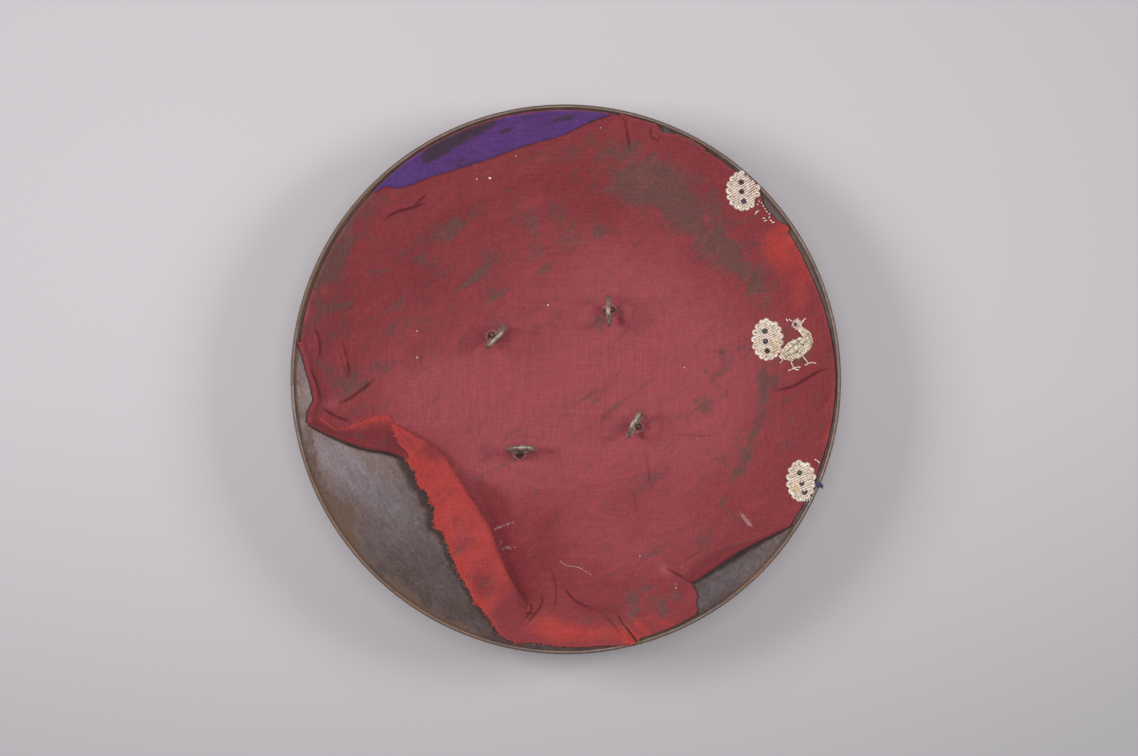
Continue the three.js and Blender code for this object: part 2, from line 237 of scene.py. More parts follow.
# Violet border: its seam from the left tip to the right tip, in pixels of the photograph
BORDER_SEAM = [
    (374, 193), (385, 186.5), (401.7, 187.2), (431.8, 176.5), (477, 162.8), (524, 145.9), (563.5, 134.6),
    (583.8, 124.5), (604, 117), (621.5, 110.5),
]
BORDER_RIM_SHARE = 0.995
RAISED_REACH = 4 * MM

# Creases of the lining in pixels of the photograph, each with the height of its lap
CREASES = [
    ([(379, 222.6), (392, 213), (410.8, 207), (431, 200.4)], 1.0),
    ([(412.6, 204.5), (420, 199), (427, 193)], 0.7),
    ([(340.5, 337), (346, 359.5), (349.7, 381)], 1.1),
    ([(312.7, 322.5), (319.2, 344.7), (316.4, 365)], 1.2),
    ([(306, 362), (315.5, 385), (320.5, 404)], 1.6),
    ([(316.4, 403.3), (331, 414.4), (353.4, 423.6)], 1.7),
    ([(333, 406), (349.7, 397.7), (368, 383.9), (377, 375)], 1.0),
    ([(338, 345), (343, 366), (349.7, 384)], 0.6),
    ([(768, 393), (782, 389.5), (796.7, 384.8), (819, 371.8), (837.4, 366)], 1.6),
    ([(622.9, 113.5), (627.5, 132), (630.3, 152)], 0.9),
    ([(652.5, 120.9), (651, 134.8), (658.5, 138.5), (661, 131)], 0.7),
    ([(560, 582.7), (574.8, 601), (597, 611.5)], 0.9),
    ([(529, 600), (531, 612), (521.5, 622)], 1.3),
    ([(538.4, 590), (541.5, 605), (524.6, 627)], 1.2),
    ([(644, 440.3), (648.8, 473.6), (652.5, 499.5)], 0.35),
    ([(632, 488), (637.7, 514.3)], 0.35),
    ([(671, 434.7), (700, 436), (722.8, 434.7)], 0.3),
    ([(548, 560), (556, 590), (552, 620)], 0.6),
    ([(600, 613), (612, 624), (625, 640)], 0.6),
    ([(664, 566), (676, 574), (690, 581)], 0.9),
    ([(700, 345), (712, 352), (735, 352)], 0.25),
]

# Laps and marks that the lining's mesh is refined for: the least lap, and marks narrower than this
FINE_LAP = 0.3
FINE_MARK = 3

# Soft marks in pixels of the photograph: x, y, half length, half width, turn in degrees, strength
GRIME = [
    (690, 205, 88, 20, -38, 0.55), (645, 176, 62, 26, 0, 0.38), (600, 190, 60, 22, 10, 0.25),
    (745, 275, 50, 22, -45, 0.38), (335, 255, 16, 66, -26, 0.5), (360, 210, 40, 10, 35, 0.4),
    (325, 330, 14, 50, 0, 0.3), (390, 250, 50, 34, 40, 0.28), (450, 290, 60, 24, 38, 0.3),
    (520, 215, 60, 30, 15, 0.25), (360, 385, 34, 12, 35, 0.35), (400, 345, 30, 26, 40, 0.25),
    (338, 252, 14, 10, 60, 0.45), (322, 272, 18, 5, 68, 0.4), (386, 203, 16, 6, 20, 0.45),
    (451, 226, 22, 9, 32, 0.6), (447, 238, 12, 6, 20, 0.4), (481, 208, 11, 7, 30, 0.4),
    (544, 158, 16, 10, 35, 0.5), (533, 228, 6, 18, 0, 0.35), (541, 250, 5, 14, 5, 0.4),
    (428, 257, 16, 7, 20, 0.45), (470, 281, 19, 2.6, 38, 0.95), (499, 295, 20, 2.6, 35, 0.95),
    (484, 268, 12, 2.2, 35, 0.6), (403, 299, 12, 3.5, 60, 0.7), (390, 310, 9, 4, 30, 0.5),
    (457, 322, 10, 3, 35, 0.5), (377, 271, 16, 2.6, 5, 0.6), (545, 269, 12, 4, 45, 0.6),
    (556, 255, 10, 3, 45, 0.4), (427, 209, 10, 4, 25, 0.4), (593, 137, 9, 6, 20, 0.4),
    (641, 174, 18, 11, 15, 0.45), (664, 165, 12, 9, 0, 0.4), (695, 178, 16, 9, -20, 0.4),
    (612, 191, 9, 5, 0, 0.4), (571, 158, 13, 6, 10, 0.4), (602, 232, 9, 7, 30, 0.4),
    (648, 196, 20, 6, 12, 0.4), (678, 213, 15, 7, -20, 0.4), (712, 243, 18, 12, -25, 0.75),
    (700, 259, 10, 7, 0, 0.5), (736, 221, 9, 12, 0, 0.35), (741, 270, 22, 7, -40, 0.5),
    (760, 296, 14, 13, 20, 0.5), (775, 318, 10, 12, 0, 0.4), (721, 352, 4, 3.5, 30, 0.8),
    (717, 319, 5, 3, 20, 0.4), (706, 370.6, 6, 2.2, 40, 0.5), (773, 364, 20, 6, 15, 0.3),
    (772, 380, 20, 8, 15, 0.4), (692, 142, 18, 4, -30, 0.6), (763, 398, 5, 30, 3, 0.75),
    (756, 428, 5, 20, -14, 0.7), (744, 453, 10, 13, 20, 0.7), (731, 480, 6, 20, -32, 0.75),
    (720, 503, 7, 8, 0, 0.6), (743, 520, 14, 6, -48, 0.4), (817, 394, 6, 12, 0, 0.5),
    (787, 398, 9, 6, 0, 0.4), (774, 425, 8, 8, 0, 0.35), (822, 430, 5, 14, 0, 0.4),
    (630, 597, 9, 6, 0, 0.8), (634, 615, 6, 13, -20, 0.8), (650, 588, 13, 2.6, 15, 0.75),
    (676, 596, 6, 5, 0, 0.7), (663, 610, 5, 8, 20, 0.7), (652, 600, 24, 12, 10, 0.25),
    (606, 614, 7, 6, 0, 0.4), (703, 406, 8, 6, 0, 0.3), (502, 466, 28, 2.2, 24, 0.75),
    (480, 476, 9, 3, 30, 0.5), (359, 409, 12, 5, 20, 0.5), (388, 409, 8, 5, 0, 0.4),
    (536, 491, 8, 4, 20, 0.6), (579, 487, 6, 3, 20, 0.4), (566, 238, 14, 20, 0, 0.25),
    (620, 150, 20, 10, 0, 0.3), (690, 540, 22, 8, 10, 0.3), (583, 530, 3, 12, 0, 0.35),
    (594, 300, 7, 4, 10, 0.7), (601, 320, 6, 9, 0, 0.8), (620, 308, 4, 7, 20, 0.5),
    (620, 330, 8, 5, -50, 0.4), (505, 334, 6, 6, 0, 0.3), (545, 452, 8, 3, 0, 0.3),
    (650, 418, 5, 8, 0, 0.4), (712, 200, 8, 12, -30, 0.3), (580, 120, 14, 5, 10, 0.4),
    (612, 150, 40, 14, 10, 0.3), (700, 230, 44, 16, -50, 0.35), (728, 258, 30, 14, -50, 0.3),
    (560, 150, 40, 10, 15, 0.25), (345, 370, 30, 22, 0, 0.25), (340, 300, 20, 40, 0, 0.25),
    (660, 200, 50, 30, -20, 0.25), (590, 230, 40, 20, 0, 0.15), (800, 270, 12, 20, -20, 0.15),
    (805, 250, 4, 10, -20, 0.4), (318, 300, 5, 14, 10, 0.4), (372, 232, 10, 12, 30, 0.3),
    (700, 590, 5, 9, 0, 0.3), (752, 345, 8, 12, 0, 0.3), (475, 365, 6, 3, 30, 0.3),
]
# Soiling on the band, the strip and the flap. On the band these marks also hold painted shade, darker at its
# upper end, its lower part and along its edges.
BAND_SOIL_AND_SHADE = [
    (431, 452, 12, 8, -40, 0.9), (457, 545, 16, 18, -40, 0.8), (500, 612, 14, 26, -40, 0.7),
    (455, 520, 10, 8, 0, 0.4), (479, 583, 17, 20, -40, 0.8), (360, 437, 20, 7, -10, 0.7),
    (325, 424, 10, 6, -30, 0.6), (385, 445, 14, 6, 0, 0.5), (505, 615, 12, 8, 0, 0.4),
    (710, 570, 20, 6, 30, 0.4), (404, 446, 12, 9, -40, 0.6), (474, 592, 14, 16, -30, 0.5),
]
FRESH = [
    (786, 248, 20, 30, -20, 0.75), (777, 240, 14, 24, -35, 0.5), (802, 285, 16, 46, -14, 0.55),
    (816, 345, 14, 40, -6, 0.4), (829, 440, 9, 22, 10, 0.5), (590, 634, 62, 13, 0, 0.68),
    (545, 622, 32, 16, -30, 0.55), (632, 640, 12, 7, -35, 1.1), (640, 626, 16, 3, -45, 0.8),
    (668, 625, 40, 7, -22, 0.5), (785, 537, 20, 8, 30, 0.2), (640, 150, 20, 10, 0, 0.2),
    (330, 330, 10, 30, 0, 0.15),
]
FADED = [
    (440, 395, 52, 34, 0, 1.0), (560, 400, 130, 90, 0, 0.75), (620, 300, 80, 70, 0, 0.55),
    (690, 340, 60, 60, 0, 0.5), (510, 460, 60, 40, 0, 0.6), (345, 232, 8, 8, 40, 0.8),
    (321, 280, 3, 12, 20, 0.9), (306, 312, 4, 12, 0, 0.7), (640, 540, 70, 30, 0, 0.4),
    (665, 400, 60, 70, 0, 0.5), (730, 410, 40, 60, 0, 0.25), (332, 405, 8, 5, 20, 0.8),
    (664, 570, 6, 5, 0, 0.8),
]
# Unfaded dark crimson, and painted shade: the marks beside the band's roll and round the four strap rings are
# painted shadows.
DEEP_TONE_AND_SHADE = [
    (499, 514, 8, 22, 24, 1.1), (514, 552, 8, 22, 20, 1.2), (526, 584, 7, 16, 20, 1.2),
    (480, 488, 6, 20, 32, 0.7), (621, 321, 6, 7, -30, 0.9), (619, 300, 5, 5, 0, 0.6),
    (598, 308, 5, 5, 0, 0.5), (511, 330, 9, 4, -5, 0.8), (500, 348, 6, 5, 0, 0.5),
    (547, 451, 11, 4, -8, 0.8), (641, 436, 6, 4, -30, 0.9), (646, 418, 4, 8, 20, 0.6),
    (560, 180, 90, 40, 10, 0.5), (332, 320, 26, 60, 0, 0.3), (824, 400, 9, 60, 0, 0.45),
    (809, 320, 10, 40, 0, 0.3), (545, 540, 34, 34, 0, 0.6), (520, 585, 24, 30, 0, 0.8),
    (420, 285, 36, 44, 20, 0.6), (455, 222, 40, 14, 30, 0.6), (620, 210, 50, 26, 0, 0.45),
    (700, 190, 36, 40, 0, 0.4), (800, 480, 34, 30, 0, 0.1), (600, 610, 26, 7, -10, 0.7),
    (770, 180, 22, 22, 0, 0.4), (309, 395, 6, 26, 0, 0.7), (345, 300, 22, 40, 0, 0.35),
    (600, 590, 60, 20, 0, 0.4), (500, 500, 14, 24, 30, 0.6),
]
# Worn pale places, and one painted glint beside the upper right ring.
SCUFFS_AND_GLINT = [
    (498, 528, 7.5, 1.7, 20, 1.15), (510, 523.5, 5.5, 1.6, 20, 1.15), (508, 548, 8.5, 1.9, 5, 1.15),
    (500, 544, 4, 1.5, 60, 0.9), (505, 556, 2.5, 5, 10, 0.6), (675, 583, 2, 4, 0, 0.9),
    (663, 569, 4, 2.5, 0, 0.7), (744.5, 518, 10.5, 2.1, -48, 1.35), (749, 524, 4.5, 1.8, -48, 0.9),
    (314, 277, 1.6, 6, 20, 1.0), (318, 270, 1.4, 3, 30, 0.9), (803, 247, 2, 6, -25, 1.1),
    (811, 264, 1.8, 6, -20, 1.0), (824, 300, 1.3, 7, -12, 0.8), (343, 230, 2.6, 2.6, 0, 0.7),
    (478, 166, 8, 1.3, -8, 0.5), (497, 169, 6, 1.3, -12, 0.5), (696, 143, 4, 1.4, -30, 0.9),
    (832, 412, 1.5, 4, -20, 0.7), (640, 556, 5, 2, 30, 0.4), (655, 552, 4, 1.5, 30, 0.4),
    (425, 402, 36, 22, -50, 0.28), (440, 380, 22, 12, -50, 0.18), (601.9, 315, 1.5, 1.5, 0, 1.2),
]
BORDER_GRIME = [
    (436, 149, 14, 9, 30, 1.4), (460, 139, 24, 7, 26, 1.1), (482, 126, 22, 6, 20, 1.0),
    (505, 131, 10, 2.6, 24, 0.9), (528, 117, 10, 3, 10, 0.8), (553, 121, 18, 3.5, 16, 0.9),
    (571, 118, 10, 3, 20, 0.6), (460, 160, 14, 3, 18, 0.7), (470, 163, 20, 2.2, 16, 0.8),
    (600, 120, 12, 4, 15, 0.8), (616, 113, 9, 4, 15, 1.0), (425, 162, 9, 4, 40, 0.5),
]
BORDER_FADED = [(396, 178, 16, 10, 30, 0.8), (418, 172, 12, 7, 30, 0.5), (500, 146, 30, 5, 15, 0.35)]
# Rubbed places on the steel, lightened with a painted bluish sheen as well.
STEEL_BRIGHT = [
    (362, 484, 60, 13, -37, 1.1), (345, 458, 20, 12, -37, 0.5), (735, 575, 40, 9, 32, 0.9),
    (700, 603, 16, 6, 32, 0.5), (400, 540, 30, 40, 40, 0.15), (670, 135, 30, 4, -25, 0.8),
]
STEEL_RUST = [
    (325, 500, 12, 34, 18, 0.4), (345, 545, 14, 34, 30, 0.65), (400, 603, 18, 24, 45, 0.7),
    (310, 440, 7, 44, 8, 0.4), (450, 630, 30, 10, -24, 0.6), (345, 515, 14, 18, 20, 0.6),
    (760, 575, 30, 7, 40, 0.8), (790, 545, 20, 6, 50, 0.5), (360, 200, 16, 30, -40, 0.7),
    (310, 290, 8, 40, -14, 0.5), (700, 135, 60, 8, -30, 0.3),
]
STEEL_GREEN = [(646, 640, 10, 5, 10, 1.0), (810, 250, 5, 12, -20, 0.5), (700, 613, 10, 6, 20, 0.4)]


# Photograph and bowl

def camera_axes():
    """Camera place, and its right, up and back directions as columns."""
    lean = np.array([-math.sin(CAMERA_LEAN[0]), -math.sin(CAMERA_LEAN[1]), 0])
    lean[2] = math.sqrt(1 - lean[0] ** 2 - lean[1] ** 2)
    right = np.cross([0, 1, 0], lean)
    right /= np.linalg.norm(right)
    return CAMERA_TARGET + CAMERA_DISTANCE * lean, np.column_stack([right, np.cross(lean, right), lean])


camera_place, camera_turn = camera_axes()


def plan_of(pixels, lift=CLOTH_LIFT):
    """Plan places on the bowl's inner face that the camera sees at these pixels, at a lift above it."""
    pixels = np.asarray(pixels, float).reshape(-1, 2)
    across = (pixels[:, 0] - PHOTO_WIDTH / 2) / focal_pixels
    up = (PHOTO_HEIGHT / 2 - pixels[:, 1]) / focal_pixels
    rays = np.column_stack([across, up, -np.ones(len(pixels))]) @ camera_turn.T
    start = camera_place - bowl_centre
    radius = inner_radius - lift
    a = (rays ** 2).sum(1)
    b = rays @ start
    reach = (-b + np.sqrt(np.maximum(b ** 2 - a * (start @ start - radius ** 2), 0))) / a
    return (start + reach[:, None] * rays)[:, :2] * inner_radius / radius


def pixels_of(points):
    """Where the camera sees these points, in pixels of the photograph."""
    seen = (np.asarray(points) - camera_place) @ camera_turn
    across = PHOTO_WIDTH / 2 - focal_pixels * seen[:, 0] / seen[:, 2]
    down = PHOTO_HEIGHT / 2 + focal_pixels * seen[:, 1] / seen[:, 2]
    return np.column_stack([across, down])


def above(plan, lift):
    """Points over the bowl's inner face, lifted towards its centre of curvature."""
    plan = np.asarray(plan, float).reshape(-1, 2)
    depth = np.sqrt(inner_radius ** 2 - (plan ** 2).sum(1))
    share = (inner_radius - np.broadcast_to(lift, len(plan))) / inner_radius
    return bowl_centre + np.column_stack([plan, -depth]) * share[:, None]


def marks(pixels, spots):
    """Sum of soft marks at each pixel place."""
    total = np.zeros(len(pixels))
    for x, y, length, width, turn, strength in spots:
        angle = math.radians(turn)
        dx, dy = pixels[:, 0] - x, y - pixels[:, 1]
        along = (dx * math.cos(angle) + dy * math.sin(angle)) / length
        side = (dy * math.cos(angle) - dx * math.sin(angle)) / width
        total += strength * np.exp(-(along ** 2 + side ** 2))
    return total


def uneven(plan, size, seed):
    """Smooth noise from -1 to 1 over plan places."""
    return np.array([noise.noise(Vector((x / size, y / size, seed))) for x, y in plan])


def eased(values):
    values = np.clip(values, 0, 1)
    return values * values * (3 - 2 * values)


# Paths

def evenly(points, count):
    points = np.asarray(points, float)
    steps = np.linalg.norm(np.diff(points, axis=0), axis=1)
    travel = np.concatenate([[0], np.cumsum(steps)])
    places = np.linspace(0, travel[-1], count)
    return np.column_stack([np.interp(places, travel, column) for column in points.T])


def smooth_path(points, count):
    """Evenly spaced points on a smooth line through the given ones."""
    points = np.asarray(points, float)
    ends = [2 * points[0] - points[1], 2 * points[-1] - points[-2]]
    padded = np.vstack([ends[0], points, ends[1]])
    dense = []
    for a, b, c, d in zip(padded, padded[1:], padded[2:], padded[3:]):
        for t in np.linspace(0, 1, 12, endpoint=False):
            bend = (2 * a - 5 * b + 4 * c - d) * t ** 2 + (3 * b - a - 3 * c + d) * t ** 3
            dense.append((2 * b + (c - a) * t + bend) / 2)
    return evenly([*dense, points[-1]], count)


def stepped(points, step):
    length = np.linalg.norm(np.diff(points, axis=0), axis=1).sum()
    return evenly(points, max(2, int(length / step) + 1))


def torn(points, seed, bite):
    """A torn edge: the given line, nibbled finely to both sides."""
    points = stepped(points, TORN_STEP)
    along = np.gradient(points, axis=0)
    normal = np.column_stack([-along[:, 1], along[:, 0]]) / np.linalg.norm(along, axis=1)[:, None]
    shift = uneven(points, 1.6 * MM, seed) * bite + uneven(points, 5 * MM, seed + 7) * bite * 1.3
    shift[[0, -1]] = 0
    return points + normal * shift[:, None]


def bearing_of(place):
    return math.degrees(math.atan2(place[1], place[0]))


def rim_run(start, end, seed):
    """The lining's edge along the bead, between the bearings of two plan places."""
    first, last = bearing_of(start), bearing_of(end)
    last += 360 if last < first else 0
    bearings = np.arange(first, last, 0.35)[1:]
    table = sorted((bearing % 360, share) for bearing, share in RIM_EDGE)
    shares = np.interp(bearings % 360, *zip(*table), period=360)
    radius = shares * lining_radius
    radius = radius + 0.5 * MM * np.array([noise.noise(Vector((b / 1.5, seed, 0))) for b in bearings])
    return np.column_stack([np.cos(np.radians(bearings)), np.sin(np.radians(bearings))]) * radius[:, None]


# Meshes

def piece_from(name, points, faces, material):
    mesh = bpy.data.meshes.new(name)
    mesh.from_pydata([tuple(p) for p in points], [], [tuple(f) for f in faces])
    mesh.materials.append(material)
    piece = bpy.data.objects.new(name, mesh)
    bpy.context.scene.collection.objects.link(piece)
    return piece


def merged(piece, distance, closed=True):
    """Merges doubles and turns the faces one way, which is outwards on a closed mesh."""
    body = bmesh.new()
    body.from_mesh(piece.data)
    bmesh.ops.remove_doubles(body, verts=body.verts, dist=distance)
    bmesh.ops.recalc_face_normals(body, faces=body.faces)
    if closed and body.calc_volume(signed=True) < 0:
        bmesh.ops.reverse_faces(body, faces=body.faces)
    body.to_mesh(piece.data)
    body.free()


def smoothed(piece):
    piece.data.polygons.foreach_set("use_smooth", [True] * len(piece.data.polygons))


def applied(piece):
    """Turns a piece with modifiers into a plain mesh."""
    evaluated = piece.evaluated_get(bpy.context.evaluated_depsgraph_get())
    plain = bpy.data.meshes.new_from_object(evaluated)
    piece.modifiers.clear()
    piece.data = plain
    return piece


def with_boolean(piece, other, operation):
    """Joins or cuts a piece with another, which is then removed."""
    modifier = piece.modifiers.new("Cut", "BOOLEAN")
    modifier.operation = operation
    modifier.solver = "EXACT"
    modifier.object = other
    applied(piece)
    bpy.data.objects.remove(other)
    return piece


def turned_piece(name, profile, sides, material, place=None):
    """A closed body turned about Z from (radius, height) points, then set in its place."""
    points, faces = [], []
    count = len(profile)
    for i in range(sides):
        angle = 2 * math.pi * i / sides
        points += [(r * math.cos(angle), r * math.sin(angle), h) for r, h in profile]
    closing = profile[0][0] > 0
    for i in range(sides):
        here, there = i * count, (i + 1) % sides * count
        for j in range(count if closing else count - 1):
            k = (j + 1) % count
            faces.append((here + j, there + j, there + k, here + k))
    piece = piece_from(name, points, faces, material)
    merged(piece, DOUBLES)
    smoothed(piece)
    if place is not None:
        piece.data.transform(place)
    return piece


def hoop_piece(name, level, side, height, radius, wire, sides, material):
    """A standing hoop of wire: its plane holds Z and the level direction, and the side one crosses it."""
    around, across = sides
    points, faces = [], []
    for i in range(around):
        angle = 2 * math.pi * i / around
        out = level * math.cos(angle) + Vector((0, 0, math.sin(angle)))
        middle = out * radius + Vector((0, 0, height))
        for j in range(across):
            turn = 2 * math.pi * j / across
            points.append(middle + (out * math.cos(turn) + side * math.sin(turn)) * wire(angle, turn))
    for i in range(around):
        for j in range(across):
            here, there, k = i * across, (i + 1) % around * across, (j + 1) % across
            faces.append((here + j, here + k, there + k, there + j))
    hoop = piece_from(name, points, faces, material)
    merged(hoop, DOUBLES)
    smoothed(hoop)
    return hoop


def arc(radius, centre_height, start, end, steps):
    """Points of an arc in a profile, by angle from straight down."""
    angles = np.linspace(start, end, steps + 1)
    return [(radius * math.sin(a), centre_height - radius * math.cos(a)) for a in angles]


def with_values(piece, **values):
    """Stores a number for each corner of the mesh, for its material to read."""
    for name, numbers in values.items():
        attribute = piece.data.attributes.new(name, "FLOAT", "POINT")
        attribute.data.foreach_set("value", np.asarray(numbers, np.float32))


def corners(piece):
    places = np.zeros(len(piece.data.vertices) * 3)
    piece.data.vertices.foreach_get("co", places)
    return places.reshape(-1, 3)


# Materials

def seen_colour(red, green, blue):
    """A colour as the photograph shows it, in linear light."""
    shares = np.array([red, green, blue]) / 255
    linear = np.where(shares <= 0.04045, shares / 12.92, ((shares + 0.055) / 1.055) ** 2.4)
    return (*linear, 1)


def add_node(tree, kind, inputs, output=0, **settings):
    """Adds a node with its settings and inputs, and gives one of its outputs."""
    made = tree.nodes.new(kind)
    for name, value in settings.items():
        setattr(made, name, value)
    for key, value in inputs.items():
        if isinstance(value, bpy.types.NodeSocket):
            tree.links.new(value, made.inputs[key])
        else:
            made.inputs[key].default_value = value
    return made.outputs[output]


class Finish:
    """A material in the making. Each call adds one node and gives its output."""

    def __init__(self, name, **surface):
        self.material = bpy.data.materials.new(name)
        self.material.use_nodes = True
        self.tree = self.material.node_tree
        self.shader = self.tree.nodes["Principled BSDF"]
        self.place = self.node("ShaderNodeTexCoord", {}, "Object")
        for socket, value in surface.items():
            self.shader.inputs[socket.replace("_", " ")].default_value = value

    def node(self, kind, inputs, output=0, **settings):
        return add_node(self.tree, kind, inputs, output, **settings)

    def value(self, name):
        return self.node("ShaderNodeAttribute", {}, "Fac", attribute_name=name)

    def stretched(self, scale, turn=0.0):
        longer = tuple(1 / share for share in scale)
        inputs = {"Vector": self.place, "Rotation": (0, 0, turn), "Scale": longer}
        return self.node("ShaderNodeMapping", inputs, vector_type="TEXTURE")

    def grain(self, scale, detail=3.0, rough=0.55, place=None, distortion=0.0):
        inputs = {"Scale": scale, "Detail": detail, "Roughness": rough, "Distortion": distortion}
        return self.node("ShaderNodeTexNoise", {"Vector": place or self.place, **inputs})

    def threads(self, direction, pitch):
        wave = {"Vector": self.place, "Scale": 2 * math.pi / 20 / pitch, "Distortion": 0.0}
        return self.node("ShaderNodeTexWave", wave, 1, bands_direction=direction)

    def maths(self, operation, a, b):
        return self.node("ShaderNodeMath", {0: a, 1: b}, operation=operation)

    def plus(self, a, b):
        return self.maths("ADD", a, b)

    def minus(self, a, b):
        return self.maths("SUBTRACT", a, b)

    def times(self, a, b):
        return self.maths("MULTIPLY", a, b)

    def between(self, value, low, high, to_low=0.0, to_high=1.0):
        inputs = {"Value": value, "From Min": low, "From Max": high, "To Min": to_low, "To Max": to_high}
        return self.node("ShaderNodeMapRange", inputs, interpolation_type="SMOOTHSTEP")

    def mixed(self, share, a, b, blend="MIX"):
        """Mixes two colours. One given as three numbers is a tone as the photograph shows it."""
        a, b = (seen_colour(*tone) if isinstance(tone, tuple) else tone for tone in (a, b))
        return self.node("ShaderNodeMix", {0: share, 6: a, 7: b}, 2, data_type="RGBA", blend_type=blend)

    def bumps(self, height, strength, distance):
        inputs = {"Height": height, "Strength": strength, "Distance": distance}
        return self.node("ShaderNodeBump", inputs)

    def finish(self, **links):
        for socket, value in links.items():
            self.tree.links.new(value, self.shader.inputs[socket.replace("_", " ")])
        return self.material


def scratches(finish, turns, scale, low, high):
    """Fine scratches that run several ways."""
    total = None
    for turn in turns:
        lines = finish.grain(scale, 4.0, 0.7, finish.stretched((1, 0.035, 1), turn), 0.6)
        sharp = finish.between(lines, low, high)
        total = sharp if total is None else finish.maths("MAXIMUM", total, sharp)
    return total


def bowl_steel():
    """Old steel: brown patina, crossing scratches, bright rubbed places that also carry a painted bluish
    sheen, rust towards the rim and a painted highlight along the top of the bead.
    """
    steel = Finish("bowl_steel", Metallic=0.55, Specular_IOR_Level=0.4)
    cloud = steel.grain(34, 7.0, 0.68)
    speckle = steel.grain(420, 3.0, 0.6)
    lines = scratches(steel, (0.35, 1.15, 2.2, 2.75), 760, 0.56, 0.72)
    fine = scratches(steel, (0.7, 1.7, 2.5), 900, 0.48, 0.72)
    # Rubbed places, mixed towards a bluish tone that is partly painted sheen.
    rubbed = steel.between(steel.plus(steel.value("bright"), cloud), 0.45, 1.25)
    colour = steel.mixed(cloud, (98, 82, 78), (126, 108, 105))
    colour = steel.mixed(steel.times(rubbed, 0.6), colour, (124, 116, 124))
    marked = steel.times(lines, steel.between(rubbed, 0.0, 1.0, 0.32, 0.75))
    colour = steel.mixed(marked, colour, (164, 154, 156))
    colour = steel.mixed(steel.times(fine, 0.4), colour, (132, 118, 116))
    streaks = steel.grain(230, 7.0, 0.74, steel.stretched((1, 0.4, 1), 0.5), 1.2)
    shaded = steel.between(streaks, 0.36, 0.6, 0.4, 0.0)
    colour = steel.mixed(shaded, colour, (72, 60, 57))
    blotches = steel.times(steel.grain(75, 7, 0.74), 1.5)
    rusty = steel.between(steel.plus(steel.value("rust"), blotches), 0.95, 1.65)
    rust_tone = steel.mixed(speckle, (108, 84, 68), (150, 118, 96))
    colour = steel.mixed(steel.times(rusty, 0.7), colour, rust_tone)
    colour = steel.mixed(steel.times(steel.value("green"), 0.6), colour, (112, 108, 80))
    dark = steel.between(speckle, 0.3, 0.46, 0.3, 0.0)
    colour = steel.mixed(dark, colour, (66, 55, 50))
    # Painted highlight along the top of the bead.
    crest = steel.times(steel.value("crest"), steel.between(cloud, 0.3, 0.7, 0.1, 0.55))
    colour = steel.mixed(crest, colour, (206, 180, 160))
    height = steel.minus(speckle, steel.times(lines, 0.6))
    return steel.finish(
        Base_Color=colour,
        Roughness=steel.between(steel.plus(rusty, cloud), 0.3, 1.4, 0.42, 0.78),
        Normal=steel.bumps(height, 0.35, 0.12 * MM),
    )


def iron(name, dark_tone, middle_tone, bright_tone, rust_share, metallic=0.5):
    """Hand-forged iron, rubbed bright on its high places and brown in its hollows."""
    metal = Finish(name, Metallic=metallic, Specular_IOR_Level=0.5)
    cloud = metal.grain(190, 5.0, 0.65)
    lines = metal.grain(900, 3.0, 0.6, metal.stretched((1, 0.25, 0.5), 0.6))
    colour = metal.mixed(metal.between(cloud, 0.35, 0.65), dark_tone, middle_tone)
    colour = metal.mixed(metal.between(lines, 0.55, 0.75, 0.0, 0.85), colour, bright_tone)
    rusty = metal.between(metal.grain(340, 4.0, 0.6), 0.56, 0.7, 0.0, rust_share)
    colour = metal.mixed(rusty, colour, (120, 84, 62))
    return metal.finish(
        Base_Color=colour,
        Roughness=metal.between(cloud, 0.3, 0.7, 0.34, 0.6),
        Normal=metal.bumps(metal.plus(cloud, lines), 0.5, 0.15 * MM),
    )


def woven(finish, pitch):
    """Height of a plain weave, and the uneven tone of its threads."""
    warp = finish.threads("X", pitch)
    weft = finish.threads("Y", pitch)
    height = finish.plus(warp, weft)
    warp_tone = finish.grain(700, 3.0, 0.6, finish.stretched((1, 0.03, 1)))
    weft_tone = finish.grain(700, 3.0, 0.6, finish.stretched((0.03, 1, 1)))
    return height, finish.plus(warp_tone, weft_tone)


